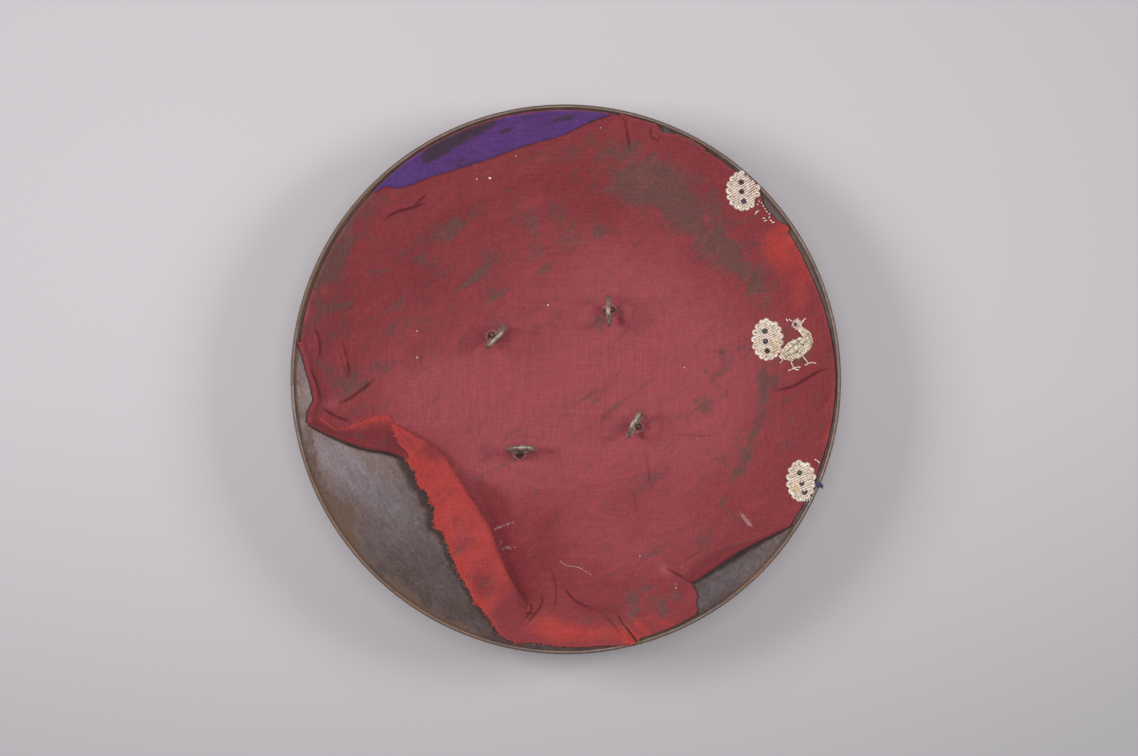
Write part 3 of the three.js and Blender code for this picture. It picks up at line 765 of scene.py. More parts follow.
def red_cotton():
    """Worn crimson cotton: faded in the middle, brown with handling, orange-red where it was covered, and
    darkened with painted shade along creases, beside the band's roll and round the rings.
    """
    cotton = Finish("red_cotton", Metallic=0, Roughness=0.88, Specular_IOR_Level=0.18)
    cotton.shader.inputs["Sheen Weight"].default_value = 0.12
    cotton.shader.inputs["Sheen Roughness"].default_value = 0.5
    height, tone = woven(cotton, 0.62 * MM)
    broad = cotton.grain(13, 4.0, 0.55)
    mottle = cotton.grain(62, 6.0, 0.66, cotton.stretched((1.25, 0.8, 1), -0.8), 0.4)
    fine = cotton.grain(520, 5.0, 0.7)
    streak = cotton.grain(75, 6.0, 0.7, cotton.stretched((1, 0.28, 1), -0.87), 0.8)
    faded = cotton.between(cotton.plus(cotton.value("faded"), broad), 0.42, 1.35)
    colour = cotton.mixed(faded, (137, 57, 62), (156, 74, 80))
    # Dark crimson, with painted shadows beside the band's roll and round the rings.
    deep = cotton.between(cotton.plus(cotton.value("deep"), mottle), 0.6, 1.5, 0.0, 0.8)
    colour = cotton.mixed(deep, colour, (120, 44, 49))
    fresh = cotton.between(cotton.plus(cotton.value("fresh"), cotton.times(mottle, 0.5)), 0.42, 1.2)
    warm = cotton.mixed(mottle, (164, 53, 51), (186, 73, 68))
    colour = cotton.mixed(fresh, colour, warm)
    patchy = cotton.plus(mottle, cotton.times(streak, 0.7))
    spread = cotton.times(cotton.minus(patchy, 0.85), 2.4)
    soiled = cotton.plus(cotton.value("grime"), cotton.plus(spread, cotton.minus(broad, 0.5)))
    soiled = cotton.between(soiled, 0.2, 1.0, 0.0, 0.85)
    colour = cotton.mixed(soiled, colour, cotton.mixed(fine, (86, 62, 58), (116, 86, 80)))
    # Painted shade along the crease lines.
    colour = cotton.mixed(cotton.times(cotton.value("crease"), 0.85), colour, (74, 20, 28))
    # Worn places go pale, and one of them is a painted glint.
    worn = cotton.plus(cotton.value("scuff"), cotton.times(cotton.minus(fine, 0.5), 3.4))
    colour = cotton.mixed(cotton.between(worn, 0.5, 1.2, 0.0, 0.62), colour, (176, 146, 144))
    veil = cotton.between(streak, 0.5, 0.7, 0.0, 0.3)
    colour = cotton.mixed(veil, colour, (104, 58, 60))
    lit = cotton.between(streak, 0.5, 0.3, 0.0, 0.3)
    colour = cotton.mixed(lit, colour, (168, 74, 76))
    pale = cotton.between(fine, 0.54, 0.8, 0.0, 0.3)
    colour = cotton.mixed(pale, colour, (180, 110, 112))
    dull = cotton.between(fine, 0.46, 0.25, 0.0, 0.4)
    colour = cotton.mixed(dull, colour, (96, 34, 40))
    shade = cotton.between(tone, 0.75, 1.25, 0.9, 1.1)
    colour = cotton.mixed(1.0, colour, shade, "MULTIPLY")
    rough_height = cotton.plus(cotton.times(height, 0.3), cotton.times(fine, 3.0))
    return cotton.finish(Base_Color=colour, Normal=cotton.bumps(rough_height, 0.3, 0.18 * MM))


def violet_cotton():
    """Violet cotton with brown stains and a bluish faded tip."""
    cotton = Finish("violet_cotton", Metallic=0, Roughness=0.82, Specular_IOR_Level=0.22)
    cotton.shader.inputs["Sheen Weight"].default_value = 0.15
    height, tone = woven(cotton, 0.5 * MM)
    mottle = cotton.grain(80, 5.0, 0.6)
    colour = cotton.mixed(mottle, (80, 44, 104), (104, 66, 134))
    colour = cotton.mixed(cotton.times(cotton.value("faded"), 0.6), colour, (80, 66, 132))
    spread = cotton.times(cotton.minus(mottle, 0.5), 1.6)
    soiled = cotton.between(cotton.plus(cotton.value("grime"), spread), 0.25, 0.9, 0.0, 0.9)
    colour = cotton.mixed(soiled, colour, (68, 52, 62))
    colour = cotton.mixed(1.0, colour, cotton.between(tone, 0.75, 1.25, 0.84, 1.14), "MULTIPLY")
    return cotton.finish(Base_Color=colour, Normal=cotton.bumps(height, 0.4, 0.12 * MM))


def thread(name, light, dark, soiled=None):
    """Twisted embroidery thread with a soft shine, and painted shade in the hollows between its strands."""
    twist = Finish(name, Metallic=0, Roughness=0.5, Specular_IOR_Level=0.4)
    twist.shader.inputs["Sheen Weight"].default_value = 0.2
    strands = twist.grain(640, 3.0, 0.6, twist.stretched((1, 0.5, 1), 0.8))
    patches = twist.grain(160, 3.0, 0.5)
    # Painted shade: the colour darkens where the strands' bump is low.
    colour = twist.mixed(twist.between(strands, 0.4, 0.54), dark, light)
    colour = twist.mixed(twist.between(patches, 0.5, 0.8, 0.0, 0.6), colour, soiled or dark)
    return twist.finish(Base_Color=colour, Normal=twist.bumps(strands, 0.4, 0.1 * MM))


# Stitches and frays

def plump_thread(tree):
    """A short plump thread, one long, lying along X."""
    return add_node(tree, "GeometryNodeMeshUVSphere", {"Segments": 6, "Rings": 5, "Radius": 0.5}, "Mesh")


def loose_end(tree):
    """A loose thread end, one long, rising in a bend from the origin along X."""
    bend = {"Resolution": 5, "Start": (0, 0, 0), "Middle": (0.5, 0.12, 0.3), "End": (1, -0.1, 0.1)}
    line = add_node(tree, "GeometryNodeCurveQuadraticBezier", bend, "Curve")
    wire = add_node(tree, "GeometryNodeCurvePrimitiveCircle", {"Resolution": 4, "Radius": 0.075}, "Curve")
    tube = {"Curve": line, "Profile Curve": wire, "Fill Caps": True}
    return add_node(tree, "GeometryNodeCurveToMesh", tube, "Mesh")


def thread_tree(name, shape):
    """Node tree that lays one thread at each point, by the point's own turn and size."""
    tree = bpy.data.node_groups.new(name, "GeometryNodeTree")
    given_kinds = {
        "Geometry": "NodeSocketGeometry", "Girth": "NodeSocketFloat", "Unevenness": "NodeSocketFloat",
        "Seed": "NodeSocketInt", "Thread": "NodeSocketMaterial",
    }
    for socket, kind in given_kinds.items():
        tree.interface.new_socket(name=socket, in_out="INPUT", socket_type=kind)
    tree.interface.new_socket(name="Geometry", in_out="OUTPUT", socket_type="NodeSocketGeometry")
    given, out = tree.nodes.new("NodeGroupInput").outputs, tree.nodes.new("NodeGroupOutput").inputs
    stored = "GeometryNodeInputNamedAttribute"
    turn, size = (
        add_node(tree, stored, {"Name": value}, "Attribute", data_type="FLOAT_VECTOR")
        for value in ("turn", "size")
    )
    turn = add_node(tree, "FunctionNodeEulerToRotation", {"Euler": turn}, "Rotation")
    least = add_node(tree, "ShaderNodeMath", {0: 1.0, 1: given["Unevenness"]}, operation="SUBTRACT")
    chance = {2: least, 3: 1.0, "Seed": given["Seed"]}
    drawn = add_node(tree, "FunctionNodeRandomValue", chance, 1, data_type="FLOAT")
    girth = add_node(tree, "ShaderNodeMath", {0: given["Girth"], 1: drawn}, operation="MULTIPLY")
    size = add_node(tree, "ShaderNodeVectorMath", {0: size, "Scale": girth}, operation="SCALE")
    laid = {"Points": given["Geometry"], "Instance": shape(tree), "Rotation": turn, "Scale": size}
    threads = add_node(tree, "GeometryNodeInstanceOnPoints", laid)
    threads = add_node(tree, "GeometryNodeRealizeInstances", {"Geometry": threads})
    threads = add_node(tree, "GeometryNodeSetShadeSmooth", {"Geometry": threads})
    threads = add_node(tree, "GeometryNodeSetMaterial", {"Geometry": threads, "Material": given["Thread"]})
    tree.links.new(threads, out["Geometry"])
    return tree


def laid_threads(name, tree, places, turns, sizes, material, unevenness=0.2, seed=3, girth=1.0):
    """Runs a thread tree over points and keeps the result as a plain mesh."""
    piece = piece_from(name, places, [], material)
    for attribute, values in (("turn", turns), ("size", sizes)):
        stored = piece.data.attributes.new(attribute, "FLOAT_VECTOR", "POINT")
        stored.data.foreach_set("vector", np.asarray(values, np.float32).ravel())
    modifier = piece.modifiers.new("Threads", "NODES")
    modifier.node_group = tree
    values = {"Girth": girth, "Unevenness": unevenness, "Seed": seed, "Thread": material}
    for item in tree.interface.items_tree:
        if item.item_type == "SOCKET" and item.in_out == "INPUT" and item.name in values:
            modifier[item.identifier] = values[item.name]
    return applied(piece)


def turn_to(along, normal):
    """Turn that lays X along one direction and Z on another."""
    x = Vector(along).normalized()
    z = Vector(normal)
    z = (z - x * z.dot(x)).normalized()
    return Matrix((x, z.cross(x), z)).transposed().to_euler("XYZ")


class Stitches:
    """Stitches given by their ends in pixels of the photograph, laid on a face of the lining."""

    def __init__(self, lift):
        self.lift = lift
        self.rows = []

    def add(self, start, end, width, rise=0.0):
        self.rows.append((start, end, width, rise))

    def line(self, points, width, length=2.2, rise=0.0):
        """A line of end-to-end stitches."""
        points = stepped(np.asarray(points, float), length * 0.8)
        for a, b in zip(points, points[1:]):
            self.add(a - (b - a) * 0.12, b + (b - a) * 0.12, width, rise)

    def dot(self, centre, radius, gap=None):
        """A round knot: a ring of stitches round a middle one, with a gap where it is worn through."""
        centre = np.asarray(centre, float)
        for i in range(KNOT_STITCHES):
            angle = 2 * math.pi * i / KNOT_STITCHES
            if gap and gap[0] < math.degrees(angle) < gap[1]:
                continue
            out = np.array([math.cos(angle), -math.sin(angle)])
            side = np.array([-out[1], out[0]])
            middle = centre + out * radius * 0.68
            self.add(middle - side * radius * 0.42, middle + side * radius * 0.42, radius * 0.62, DOT_RISE)
            inner = centre + out * radius * 0.25
            half = side * radius * 0.2
            self.add(inner - half, inner + half, radius * 0.5, DOT_RISE + 0.1 * MM)

    def laid(self, name, tree, material, seed=3, girth=1.0):
        first = np.array([row[0] for row in self.rows], float)
        last = np.array([row[1] for row in self.rows], float)
        rises = np.array([row[3] for row in self.rows])
        first, last = plan_of(first, self.lift), plan_of(last, self.lift)
        starts = above(first, lining_lift(first) + STITCH_RISE + rises)
        ends = above(last, lining_lift(last) + STITCH_RISE + rises)
        middles = (starts + ends) / 2
        pixel = CAMERA_DISTANCE / focal_pixels
        turns, sizes = [], []
        for start, end, middle, row in zip(starts, ends, middles, self.rows):
            turns.append(turn_to(end - start, bowl_centre - middle))
            width = row[2] * pixel
            sizes.append((np.linalg.norm(end - start) + width * 0.5, width, width * 0.75))
        return laid_threads(name, tree, middles, turns, sizes, material, 0.15, seed, girth)


# Bowl

def bowl_piece(material):
    bead_radius = BEAD_DIAMETER / 2
    join_turn = math.asin(BOWL_WALL / BEAD_DIAMETER)
    join_angle = rim_angle - bead_radius * math.cos(join_turn) / middle_radius
    bead_height = -middle_radius * math.cos(rim_angle)
    first_turn = rim_angle + math.pi + join_turn
    turns = np.linspace(first_turn, first_turn + 2 * math.pi - 2 * join_turn, BEAD_STEPS + 1)
    bead = [(rim_radius + bead_radius * math.cos(a), bead_height + bead_radius * math.sin(a)) for a in turns]
    wall_end = join_angle * (BOWL_STEPS - 1) / BOWL_STEPS
    outer_face = arc(outer_radius, 0, 0, wall_end, BOWL_STEPS - 1)
    inner_face = arc(inner_radius, 0, wall_end, 0, BOWL_STEPS - 1)
    profile = [*outer_face, *bead, *inner_face]
    place = Matrix.Translation(Vector(bowl_centre))
    bowl = turned_piece("bowl", profile, BOWL_SIDES, material, place)
    core = [(0, -2 * BOWL_WALL), (shank_hole, -2 * BOWL_WALL), (shank_hole, BOWL_WALL), (0, BOWL_WALL)]
    for fitting in fittings:
        drill = turned_piece("drill", core, DRILL_SIDES, material, fitting["matrix"])
        with_boolean(bowl, drill, "DIFFERENCE")
    points = corners(bowl)
    pixels = pixels_of(points)
    radius = np.linalg.norm(points[:, :2], axis=1)
    inner = np.linalg.norm(points - bowl_centre, axis=1) < middle_radius
    on_top = points[:, 2] > points[:, 2].max() - 0.5 * MM
    rim = np.exp(-(SHIELD_DIAMETER / 2 - radius) / (7 * MM))
    # The crest value is a painted highlight along the top of the bead, and the bright marks hold painted sheen
    # as well as rubbed places.
    with_values(
        bowl,
        bright=np.where(inner, marks(pixels, STEEL_BRIGHT), 0.35),
        rust=np.where(inner, marks(pixels, STEEL_RUST), 0.25) + 0.6 * rim,
        green=np.where(inner, marks(pixels, STEEL_GREEN), 0),
        crest=np.exp(-((radius - rim_radius + 0.6 * MM) / (0.45 * MM)) ** 2) * on_top,
    )
    return bowl


# Fittings

def fitting_frames():
    """Each fitting's place: Z along its shank into the hollow, X along its ring."""
    found = []
    for place in PLACES:
        joint = next(j for j in frame["joints"] if j["child"] == f"{place}_ring")
        x = Vector(joint["axis"]).normalized()
        z = (Vector(bowl_centre) - Vector(joint["pos_m"])).normalized()
        y = z.cross(x).normalized()
        x = y.cross(z)
        matrix = Matrix((x, y, z)).transposed().to_4x4()
        matrix.translation = Vector(bowl_centre) - z * inner_radius
        found.append({"place": place, "matrix": matrix})
    return found


def ring_piece(fitting, material):
    """Forged ring whose wire swells from the eye to the crest, a little uneven from the hammer."""
    def wire(angle, turn):
        crest_share = (1 + math.sin(angle)) / 2
        swelling = RING_EYE_WIRE + (RING_CREST_WIRE - RING_EYE_WIRE) * crest_share
        dent = 1 + 0.05 * noise.noise(Vector((3 * math.cos(angle), 3 * math.sin(angle), turn)))
        return swelling / 2 * min(dent, 1)

    name = f"strap_ring_{fitting['place']}"
    middle = eye_height + ring_radius
    ring = hoop_piece(name, X_AXIS, Y_AXIS, middle, ring_radius, wire, RING_SIDES, material)
    ring.data.transform(fitting["matrix"])
    return ring


def boss_levels():
    """Heights of the boss in a fitting's frame: its seat at a radius, and its dome's centre."""
    def seat(radius):
        return -BOWL_WALL - SEAT_GAP + outer_radius - math.sqrt(outer_radius ** 2 - radius ** 2)
    return seat, seat(boss_radius) - BOSS_FLANGE_THICKNESS - BOSS_HEIGHT + boss_sphere


def worn_flat(piece):
    """Wears away what would reach below the ground."""
    for vertex in piece.data.vertices:
        vertex.co.z = max(vertex.co.z, 0)


def eyebolt_piece(fitting, material):
    """Eye, shank and rivet head of one fitting, forged as one."""
    head = RIVET_HEAD_DIAMETER / 2
    shank = SHANK_DIAMETER / 2
    centre = boss_levels()[1]
    head_end = centre - math.sqrt(boss_sphere ** 2 - head ** 2)
    top = eye_height - eye_radius
    profile = [
        (0, head_end), (head * 0.85, head_end), (head, head_end + EASED_EDGE),
        (shank, head_end + RIVET_HEAD_DEPTH), (shank, top), (0, top),
    ]
    bolt = turned_piece(f"eyebolt_{fitting['place']}_forged", profile, BOLT_SIDES, material)

    def wire(angle, turn):
        return EYE_WIRE_DIAMETER / 2

    eye = hoop_piece("eye", Y_AXIS, X_AXIS, eye_height, eye_radius, wire, EYE_SIDES, material)
    with_boolean(bolt, eye, "UNION")
    smoothed(bolt)
    bolt.data.transform(fitting["matrix"])
    worn_flat(bolt)
    return bolt


def washer_piece(fitting, material):
    outside = WASHER_DIAMETER / 2
    profile = [
        (shank_hole, washer_bottom), (outside - WASHER_EDGE, washer_bottom),
        (outside, washer_bottom + WASHER_EDGE), (outside, washer_top - WASHER_EDGE),
        (outside - WASHER_EDGE, washer_top), (shank_hole, washer_top - WASHER_DISH),
    ]
    name = f"washer_{fitting['place']}_forged"
    return turned_piece(name, profile, WASHER_SIDES, material, fitting["matrix"])


def boss_piece(fitting, material):
    """Hollow domed boss with a flange and a fine line round its foot, worn flat where it meets the ground."""
    seat, centre = boss_levels()
    head_hole = RIVET_HEAD_DIAMETER / 2 + SHANK_CLEARANCE
    cavity_sphere = boss_sphere - BOSS_WALL
    flange = boss_radius + BOSS_FLANGE_WIDTH
    foot_angle = math.acos((boss_sphere - BOSS_HEIGHT) / boss_sphere)
    cavity_angle = math.asin((boss_radius - BOSS_WALL) / cavity_sphere)
    dome = arc(boss_sphere, centre, math.asin(head_hole / boss_sphere), foot_angle, 40)
    cavity = arc(cavity_sphere, centre, cavity_angle, math.asin(shank_hole / cavity_sphere), 20)
    foot = seat(boss_radius) - BOSS_FLANGE_THICKNESS
    line_start, line_end = BOSS_FOOT_LINE
    rim = [
        (boss_radius + line_start, foot + EASED_EDGE), (boss_radius + line_end, foot),
        (flange - EASED_EDGE, foot), (flange, foot + EASED_EDGE), (flange, seat(flange)),
        (boss_radius - BOSS_WALL, seat(boss_radius - BOSS_WALL)),
    ]
    profile = [*dome, *rim, *cavity]
    boss = turned_piece(f"boss_{fitting['place']}_domed", profile, BOSS_SIDES, material, fitting["matrix"])
    worn_flat(boss)
    return boss


# Lining

def inside(points, outline):
    """Which of these plan places lie within a closed outline."""
    within = np.zeros(len(points), bool)
    x, y = points[:, 0], points[:, 1]
    for (ax, ay), (bx, by) in zip(outline, np.roll(outline, -1, axis=0)):
        crosses = (ay > y) != (by > y)
        if ay != by:
            within ^= crosses & (x < ax + (bx - ax) * (y - ay) / (by - ay))
    return within


def nearest_tree(points):
    tree = kdtree.KDTree(len(points))
    for i, (x, y) in enumerate(points):
        tree.insert((x, y, 0), i)
    tree.balance()
    return tree


def distance_to(tree, points):
    return np.array([tree.find((x, y, 0))[2] for x, y in points])


def crease_field(plan):
    """Height of the laps at plan places, and how much each place lies in a crease line."""
    height, line = np.zeros(len(plan)), np.zeros(len(plan))
    for pixels, lap in CREASES:
        path = stepped(smooth_path(plan_of(pixels), 24), 1.5 * MM)
        steps = np.diff(path, axis=0)
        ends = eased(np.minimum(np.arange(len(path)), np.arange(len(path))[::-1]) / (0.3 * len(path)))
        best = np.full(len(plan), 1.0)
        side, strength = np.zeros(len(plan)), np.zeros(len(plan))
        for i, step in enumerate(steps):
            offset = plan - path[i]
            along = np.clip(offset @ step / (step @ step), 0, 1)
            gap = offset - along[:, None] * step
            distance = np.linalg.norm(gap, axis=1)
            nearer = distance < best
            best = np.where(nearer, distance, best)
            side = np.where(nearer, np.sign(step[0] * gap[:, 1] - step[1] * gap[:, 0]), side)
            strength = np.where(nearer, ends[i] + (ends[i + 1] - ends[i]) * along, strength)
        slope = np.where(side > 0, CREASE_GENTLE, CREASE_STEEP)
        height += lap * MM * strength * np.exp(-(best / slope) ** 1.3)
        line += min(1, lap) * strength * np.exp(-((best - 0.3 * MM) / CREASE_LINE) ** 2)
    return height, line


def lining_lift(plan):
    """Height of the lining's middle surface over the steel."""
    swell = BROAD_SWELL * (1 + uneven(plan, 55 * MM, 1.5)) + SMALL_SWELL * (1 + uneven(plan, 14 * MM, 4.5))
    near = np.ones(len(plan))
    for fitting in fittings:
        middle = np.array(fitting["matrix"].translation)[:2]
        near *= eased((np.linalg.norm(plan - middle, axis=1) - 6 * MM) / (14 * MM))
    return CLOTH_LIFT + swell * near + crease_field(plan)[0]


def turned_back_rows(fold, free, noses, raises, end_gap, stations):
    """Cloth turned back over itself: rows of plan places, lifts, shares of the way from the fold to the
    free edge, and how far the row stands off the steel."""
    starts = smooth_path(plan_of(fold, 2 * MM), stations)
    ends = evenly(plan_of(free, 3 * MM), stations)
    shares = np.linspace(0, 1, stations)
    noses = np.interp(shares, np.linspace(0, 1, len(noses)), noses) * MM
    raises = np.interp(shares, np.linspace(0, 1, len(raises)), raises) * MM
    rows = []
    for start, end, radius, raised in zip(starts, ends, noses, raises):
        width = np.linalg.norm(end - start)
        across = (end - start) / width
        nose = min(radius, 0.3 * width)
        turns = np.linspace(-math.pi / 2, math.pi / 2, 9)
        reach = nose - nose * np.cos(turns)
        lift = nose + nose * np.sin(turns)
        t = np.linspace(0, 1, 15)[1:]
        reach = np.concatenate([reach, nose + (width - nose) * t])
        top = 2 * nose + (end_gap - 2 * nose) * eased(t) - 0.5 * MM * np.sin(math.pi * t)
        lift = np.concatenate([lift, top])
        lift = lift + raised * np.exp(-(np.maximum(reach - nose, 0) / (RAISED_REACH + 2 * raised)) ** 2)
        rows.append((start + np.outer(reach, across), lift, reach / width, raised))
    return rows


def band_rows(stations):
    """The long band: up over a small root fold, back, round a smooth roll and out to a frayed edge."""
    rolls = smooth_path(plan_of(BAND_ROLL, 6 * MM), stations)
    frees = evenly(plan_of(BAND_FREE, 6 * MM), stations)
    rows = []
    for i, (roll, free) in enumerate(zip(rolls, frees)):
        share = i / (stations - 1)
        alive = float(eased((1 - share) / 0.13))
        width = np.linalg.norm(free - roll)
        across = (free - roll) / width
        nose = min(0.9 * MM, 0.2 * width) * alive
        roll_radius = min(np.interp(share, *BAND_RADIUS) * MM, 0.3 * width) * alive
        root = max(0.5 * width * alive, roll_radius)
        turns = np.linspace(-math.pi / 2, math.pi / 2, 6)
        reach = list(root + nose * np.cos(turns))
        lift = list(nose + nose * np.sin(turns))
        for t in np.linspace(0, 1, 7)[1:-1]:
            reach.append(root + (roll_radius - root) * t)
            lift.append(2 * nose + 0.3 * MM * t * alive)
        under = 2 * nose + 0.3 * MM * alive
        turns = np.linspace(-math.pi / 2, math.pi / 2, 12)
        reach += list(roll_radius - roll_radius * np.cos(turns))
        lift += list(under + roll_radius + roll_radius * np.sin(turns))
        top = under + 2 * roll_radius
        hang = np.interp(share, *BAND_HANG) * MM * alive
        for t in np.linspace(0, 1, 18)[1:]:
            reach.append(roll_radius + (width - roll_radius) * t)
            sag = -0.14 * roll_radius * math.sin(math.pi * t) * alive
            flutter = 1.3 * MM * noise.noise(Vector((share * 15, t * 1.6, 8))) * t * alive
            furrow = 0.9 * MM * noise.noise(Vector((share * 5 + t * 2.2, t * 2.5 - share * 6, 3))) * alive
            lift.append(top + (hang - top) * float(eased(t)) + sag + flutter + furrow * math.sin(math.pi * t))
        rows.append((roll + np.outer(reach, across), np.array(lift), np.array(reach) / width, 0.0))
    return rows


def row_faces(first, rows, count):
    faces = []
    for i in range(rows - 1):
        for j in range(count - 1):
            a = first + i * count + j
            faces.append((a, a + 1, a + count + 1, a + count))
    return faces


def frayed_end(rows, seed, bite):
    """Nibbles the free edge of a folded part."""
    for i, (plan, *_) in enumerate(rows):
        across = plan[-1] - plan[-3]
        across = across / np.linalg.norm(across)
        nip = noise.noise(Vector((i / 1.3, seed, 0))) + 0.8 * noise.noise(Vector((i / 4.5, seed, 5)))
        fade = min(1, i / 4, (len(rows) - 1 - i) / 4)
        plan[-1] = plan[-1] + across * nip * bite * fade
        plan[-2] = plan[-2] + across * nip * bite * fade * 0.4
    return rows


def lining_parts():
    """Outline of the flat part, and the rows of its folded parts."""
    strip = turned_back_rows(STRIP_FOLD, STRIP_FREE, STRIP_NOSES, STRIP_RAISES, STRIP_GAP, STRIP_STATIONS)
    strip = frayed_end(strip, 11, 1.0 * MM)
    flap = turned_back_rows(FLAP_FOLD, FLAP_FREE, FLAP_NOSES, FLAP_RAISES, FLAP_GAP, FLAP_STATIONS)
    band = frayed_end(band_rows(BAND_STATIONS), 23, 1.3 * MM)
    band_start = next(i for i, row in enumerate(band) if pixels_of(above(row[0][:1], 0))[0, 1] > BAND_ROOT_ROW)
    roots = {
        "strip": np.array([row[0][0] for row in strip]),
        "flap": np.array([row[0][0] for row in flap]),
        "band": np.array([row[0][0] for row in band[band_start:]]),
    }
    last_plan = band[-1][0]
    distances = np.linalg.norm(last_plan - last_plan[0], axis=1)
    closing = last_plan[np.argsort(distances)]
    torn_edges = [torn(plan_of(edge), seed, bite * MM) for edge, seed, bite, _, _ in TORN_EDGES]
    lower_tear, nick, top, left, bottom, slit = torn_edges
    outline = [
        lower_tear, roots["flap"], rim_run(roots["flap"][-1], nick[0], 1.0), nick,
        rim_run(nick[-1], top[0], 2.0), top, rim_run(top[-1], left[0], 3.0), left,
        roots["strip"], roots["band"], closing[1:], bottom, slit, rim_run(slit[-1], lower_tear[0], 4.0),
    ]
    closing_rows = [(closing[i:i + 1], None, None, 0.0) for i in range(len(closing))]
    outline = np.vstack(outline)
    steps = np.linalg.norm(outline - np.roll(outline, 1, axis=0), axis=1)
    return outline[steps > 0.12 * MM], torn_edges, strip, flap, band, closing_rows


def close_points():
    """Extra places for the mesh where creases and small marks need them."""
    extra = []
    for pixels, lap in CREASES:
        if lap < FINE_LAP:
            continue
        path = stepped(smooth_path(plan_of(pixels), 24), 1.1 * MM)
        along = np.gradient(path, axis=0)
        normal = np.column_stack([-along[:, 1], along[:, 0]]) / np.linalg.norm(along, axis=1)[:, None]
        extra += [path + normal * offset * MM for offset in (-2.4, -1.4, -0.8, -0.3, 0.3, 0.9, 1.7, 2.8)]
    for x, y, length, width, turn, _ in [mark for mark in [*SCUFFS_AND_GLINT, *GRIME] if mark[3] < FINE_MARK]:
        angle = math.radians(turn)
        along, across = np.arange(-length, length + 1, 1.5), np.arange(-3, 3.1, 1.2)
        grid = np.array([(a, b) for a in along for b in across])
        dx = grid[:, 0] * math.cos(angle) - grid[:, 1] * math.sin(angle)
        dy = grid[:, 0] * math.sin(angle) + grid[:, 1] * math.cos(angle)
        extra.append(plan_of(np.column_stack([x + dx, y - dy])))
    return np.vstack(extra)


def thinned(points, gap):
    """Drops places that lie closer than the gap to one that is kept."""
    kept, cells = [], {}
    for point in points:
        cell = tuple(np.floor(point / gap).astype(int))
        near = (cells.get((cell[0] + i, cell[1] + j), []) for i in (-1, 0, 1) for j in (-1, 0, 1))
        if all(np.hypot(*(point - other)) >= gap for group in near for other in group):
            kept.append(point)
            cells.setdefault(cell, []).append(point)
    return np.array(kept)


def cloth_net(outline, holes, extra, step):
    """Triangles over a plan outline with holes, finer where extra places are given."""
    edge = np.vstack([outline, *holes])
    edge_tree = nearest_tree(edge)
    candidates = []
    if len(extra):
        candidates = thinned(extra, 0.7 * MM)
        candidates = candidates[inside(candidates, outline)]
        candidates = candidates[distance_to(edge_tree, candidates) > 0.6 * MM]
    low, high = outline.min(0), outline.max(0)
    rows = np.arange(low[1], high[1], step * math.sqrt(3) / 2)
    across = np.arange(low[0], high[0], step)
    grid = np.vstack([
        np.column_stack([across + i % 2 * step / 2, np.full(len(across), y)]) for i, y in enumerate(rows)
    ])
    grid = grid[inside(grid, outline)]
    for hole in holes:
        grid = grid[~inside(grid, hole)]
    fixed = np.vstack([edge, candidates]) if len(candidates) else edge
    grid = grid[distance_to(nearest_tree(fixed), grid) > 0.62 * step]
    points = np.vstack([fixed, grid])
    loops, start = [], 0
    for loop in (outline, *holes):
        loops += [(start + i, start + (i + 1) % len(loop)) for i in range(len(loop))]
        start += len(loop)
    found = delaunay_2d_cdt([Vector(p) for p in points], loops, [], 0, 1e-9)
    places = np.array([tuple(v) for v in found[0]])
    faces = np.array([face for face in found[2] if len(face) == 3])
    middles = places[faces].mean(1)
    keep = inside(middles, outline)
    for hole in holes:
        keep &= ~inside(middles, hole)
    return places, faces[keep]


def thickened(piece, thickness):
    """Gives an open sheet its thickness."""
    modifier = piece.modifiers.new("Thickness", "SOLIDIFY")
    modifier.thickness = thickness
    modifier.offset = 0
    modifier.use_even_offset = True
    modifier.thickness_clamp = 1.0
    applied(piece)
    smoothed(piece)


def shank_openings(radius, sides=20):
    found = []
    for fitting in fittings:
        x, y, _ = fitting["matrix"].translation
        angles = np.linspace(0, 2 * math.pi, sides, endpoint=False)
        found.append(np.column_stack([x + radius * np.cos(angles), y + radius * np.sin(angles)]))
    return found


def flat_lift(plan, torn_edges, roots, raises, merging_from):
    """Height of the flat part: curled at torn edges, gathered at the left edge and raised at the folds."""
    lift = lining_lift(plan)
    curl = distance_to(nearest_tree(np.vstack(torn_edges)), plan)
    lift = lift + EDGE_CURL * (0.6 + uneven(plan, 9 * MM, 9.5)).clip(0) * np.exp(-curl / (3 * MM))
    gather = distance_to(nearest_tree(torn_edges[3]), plan)
    lift = lift - (lift - CLOTH_LIFT) * 0.85 * np.exp(-(gather / (2.2 * MM)) ** 2)
    lift = lift + GATHER_HEIGHT * np.exp(-((gather - 2.4 * MM) / (1.5 * MM)) ** 2)
    tree = nearest_tree(roots)
    nearest = [tree.find((x, y, 0)) for x, y in plan]
    away = np.array([found[2] for found in nearest])
    root = np.array([found[1] for found in nearest])
    raised = raises[root]
    lift = lift + raised * np.exp(-(away / (RAISED_REACH + 2 * raised)) ** 2)
    reach = np.where(root >= merging_from, 6 * MM, 1.8 * MM)
    return lift + (CLOTH_LIFT + raised - lift) * np.exp(-(away / reach) ** 2)


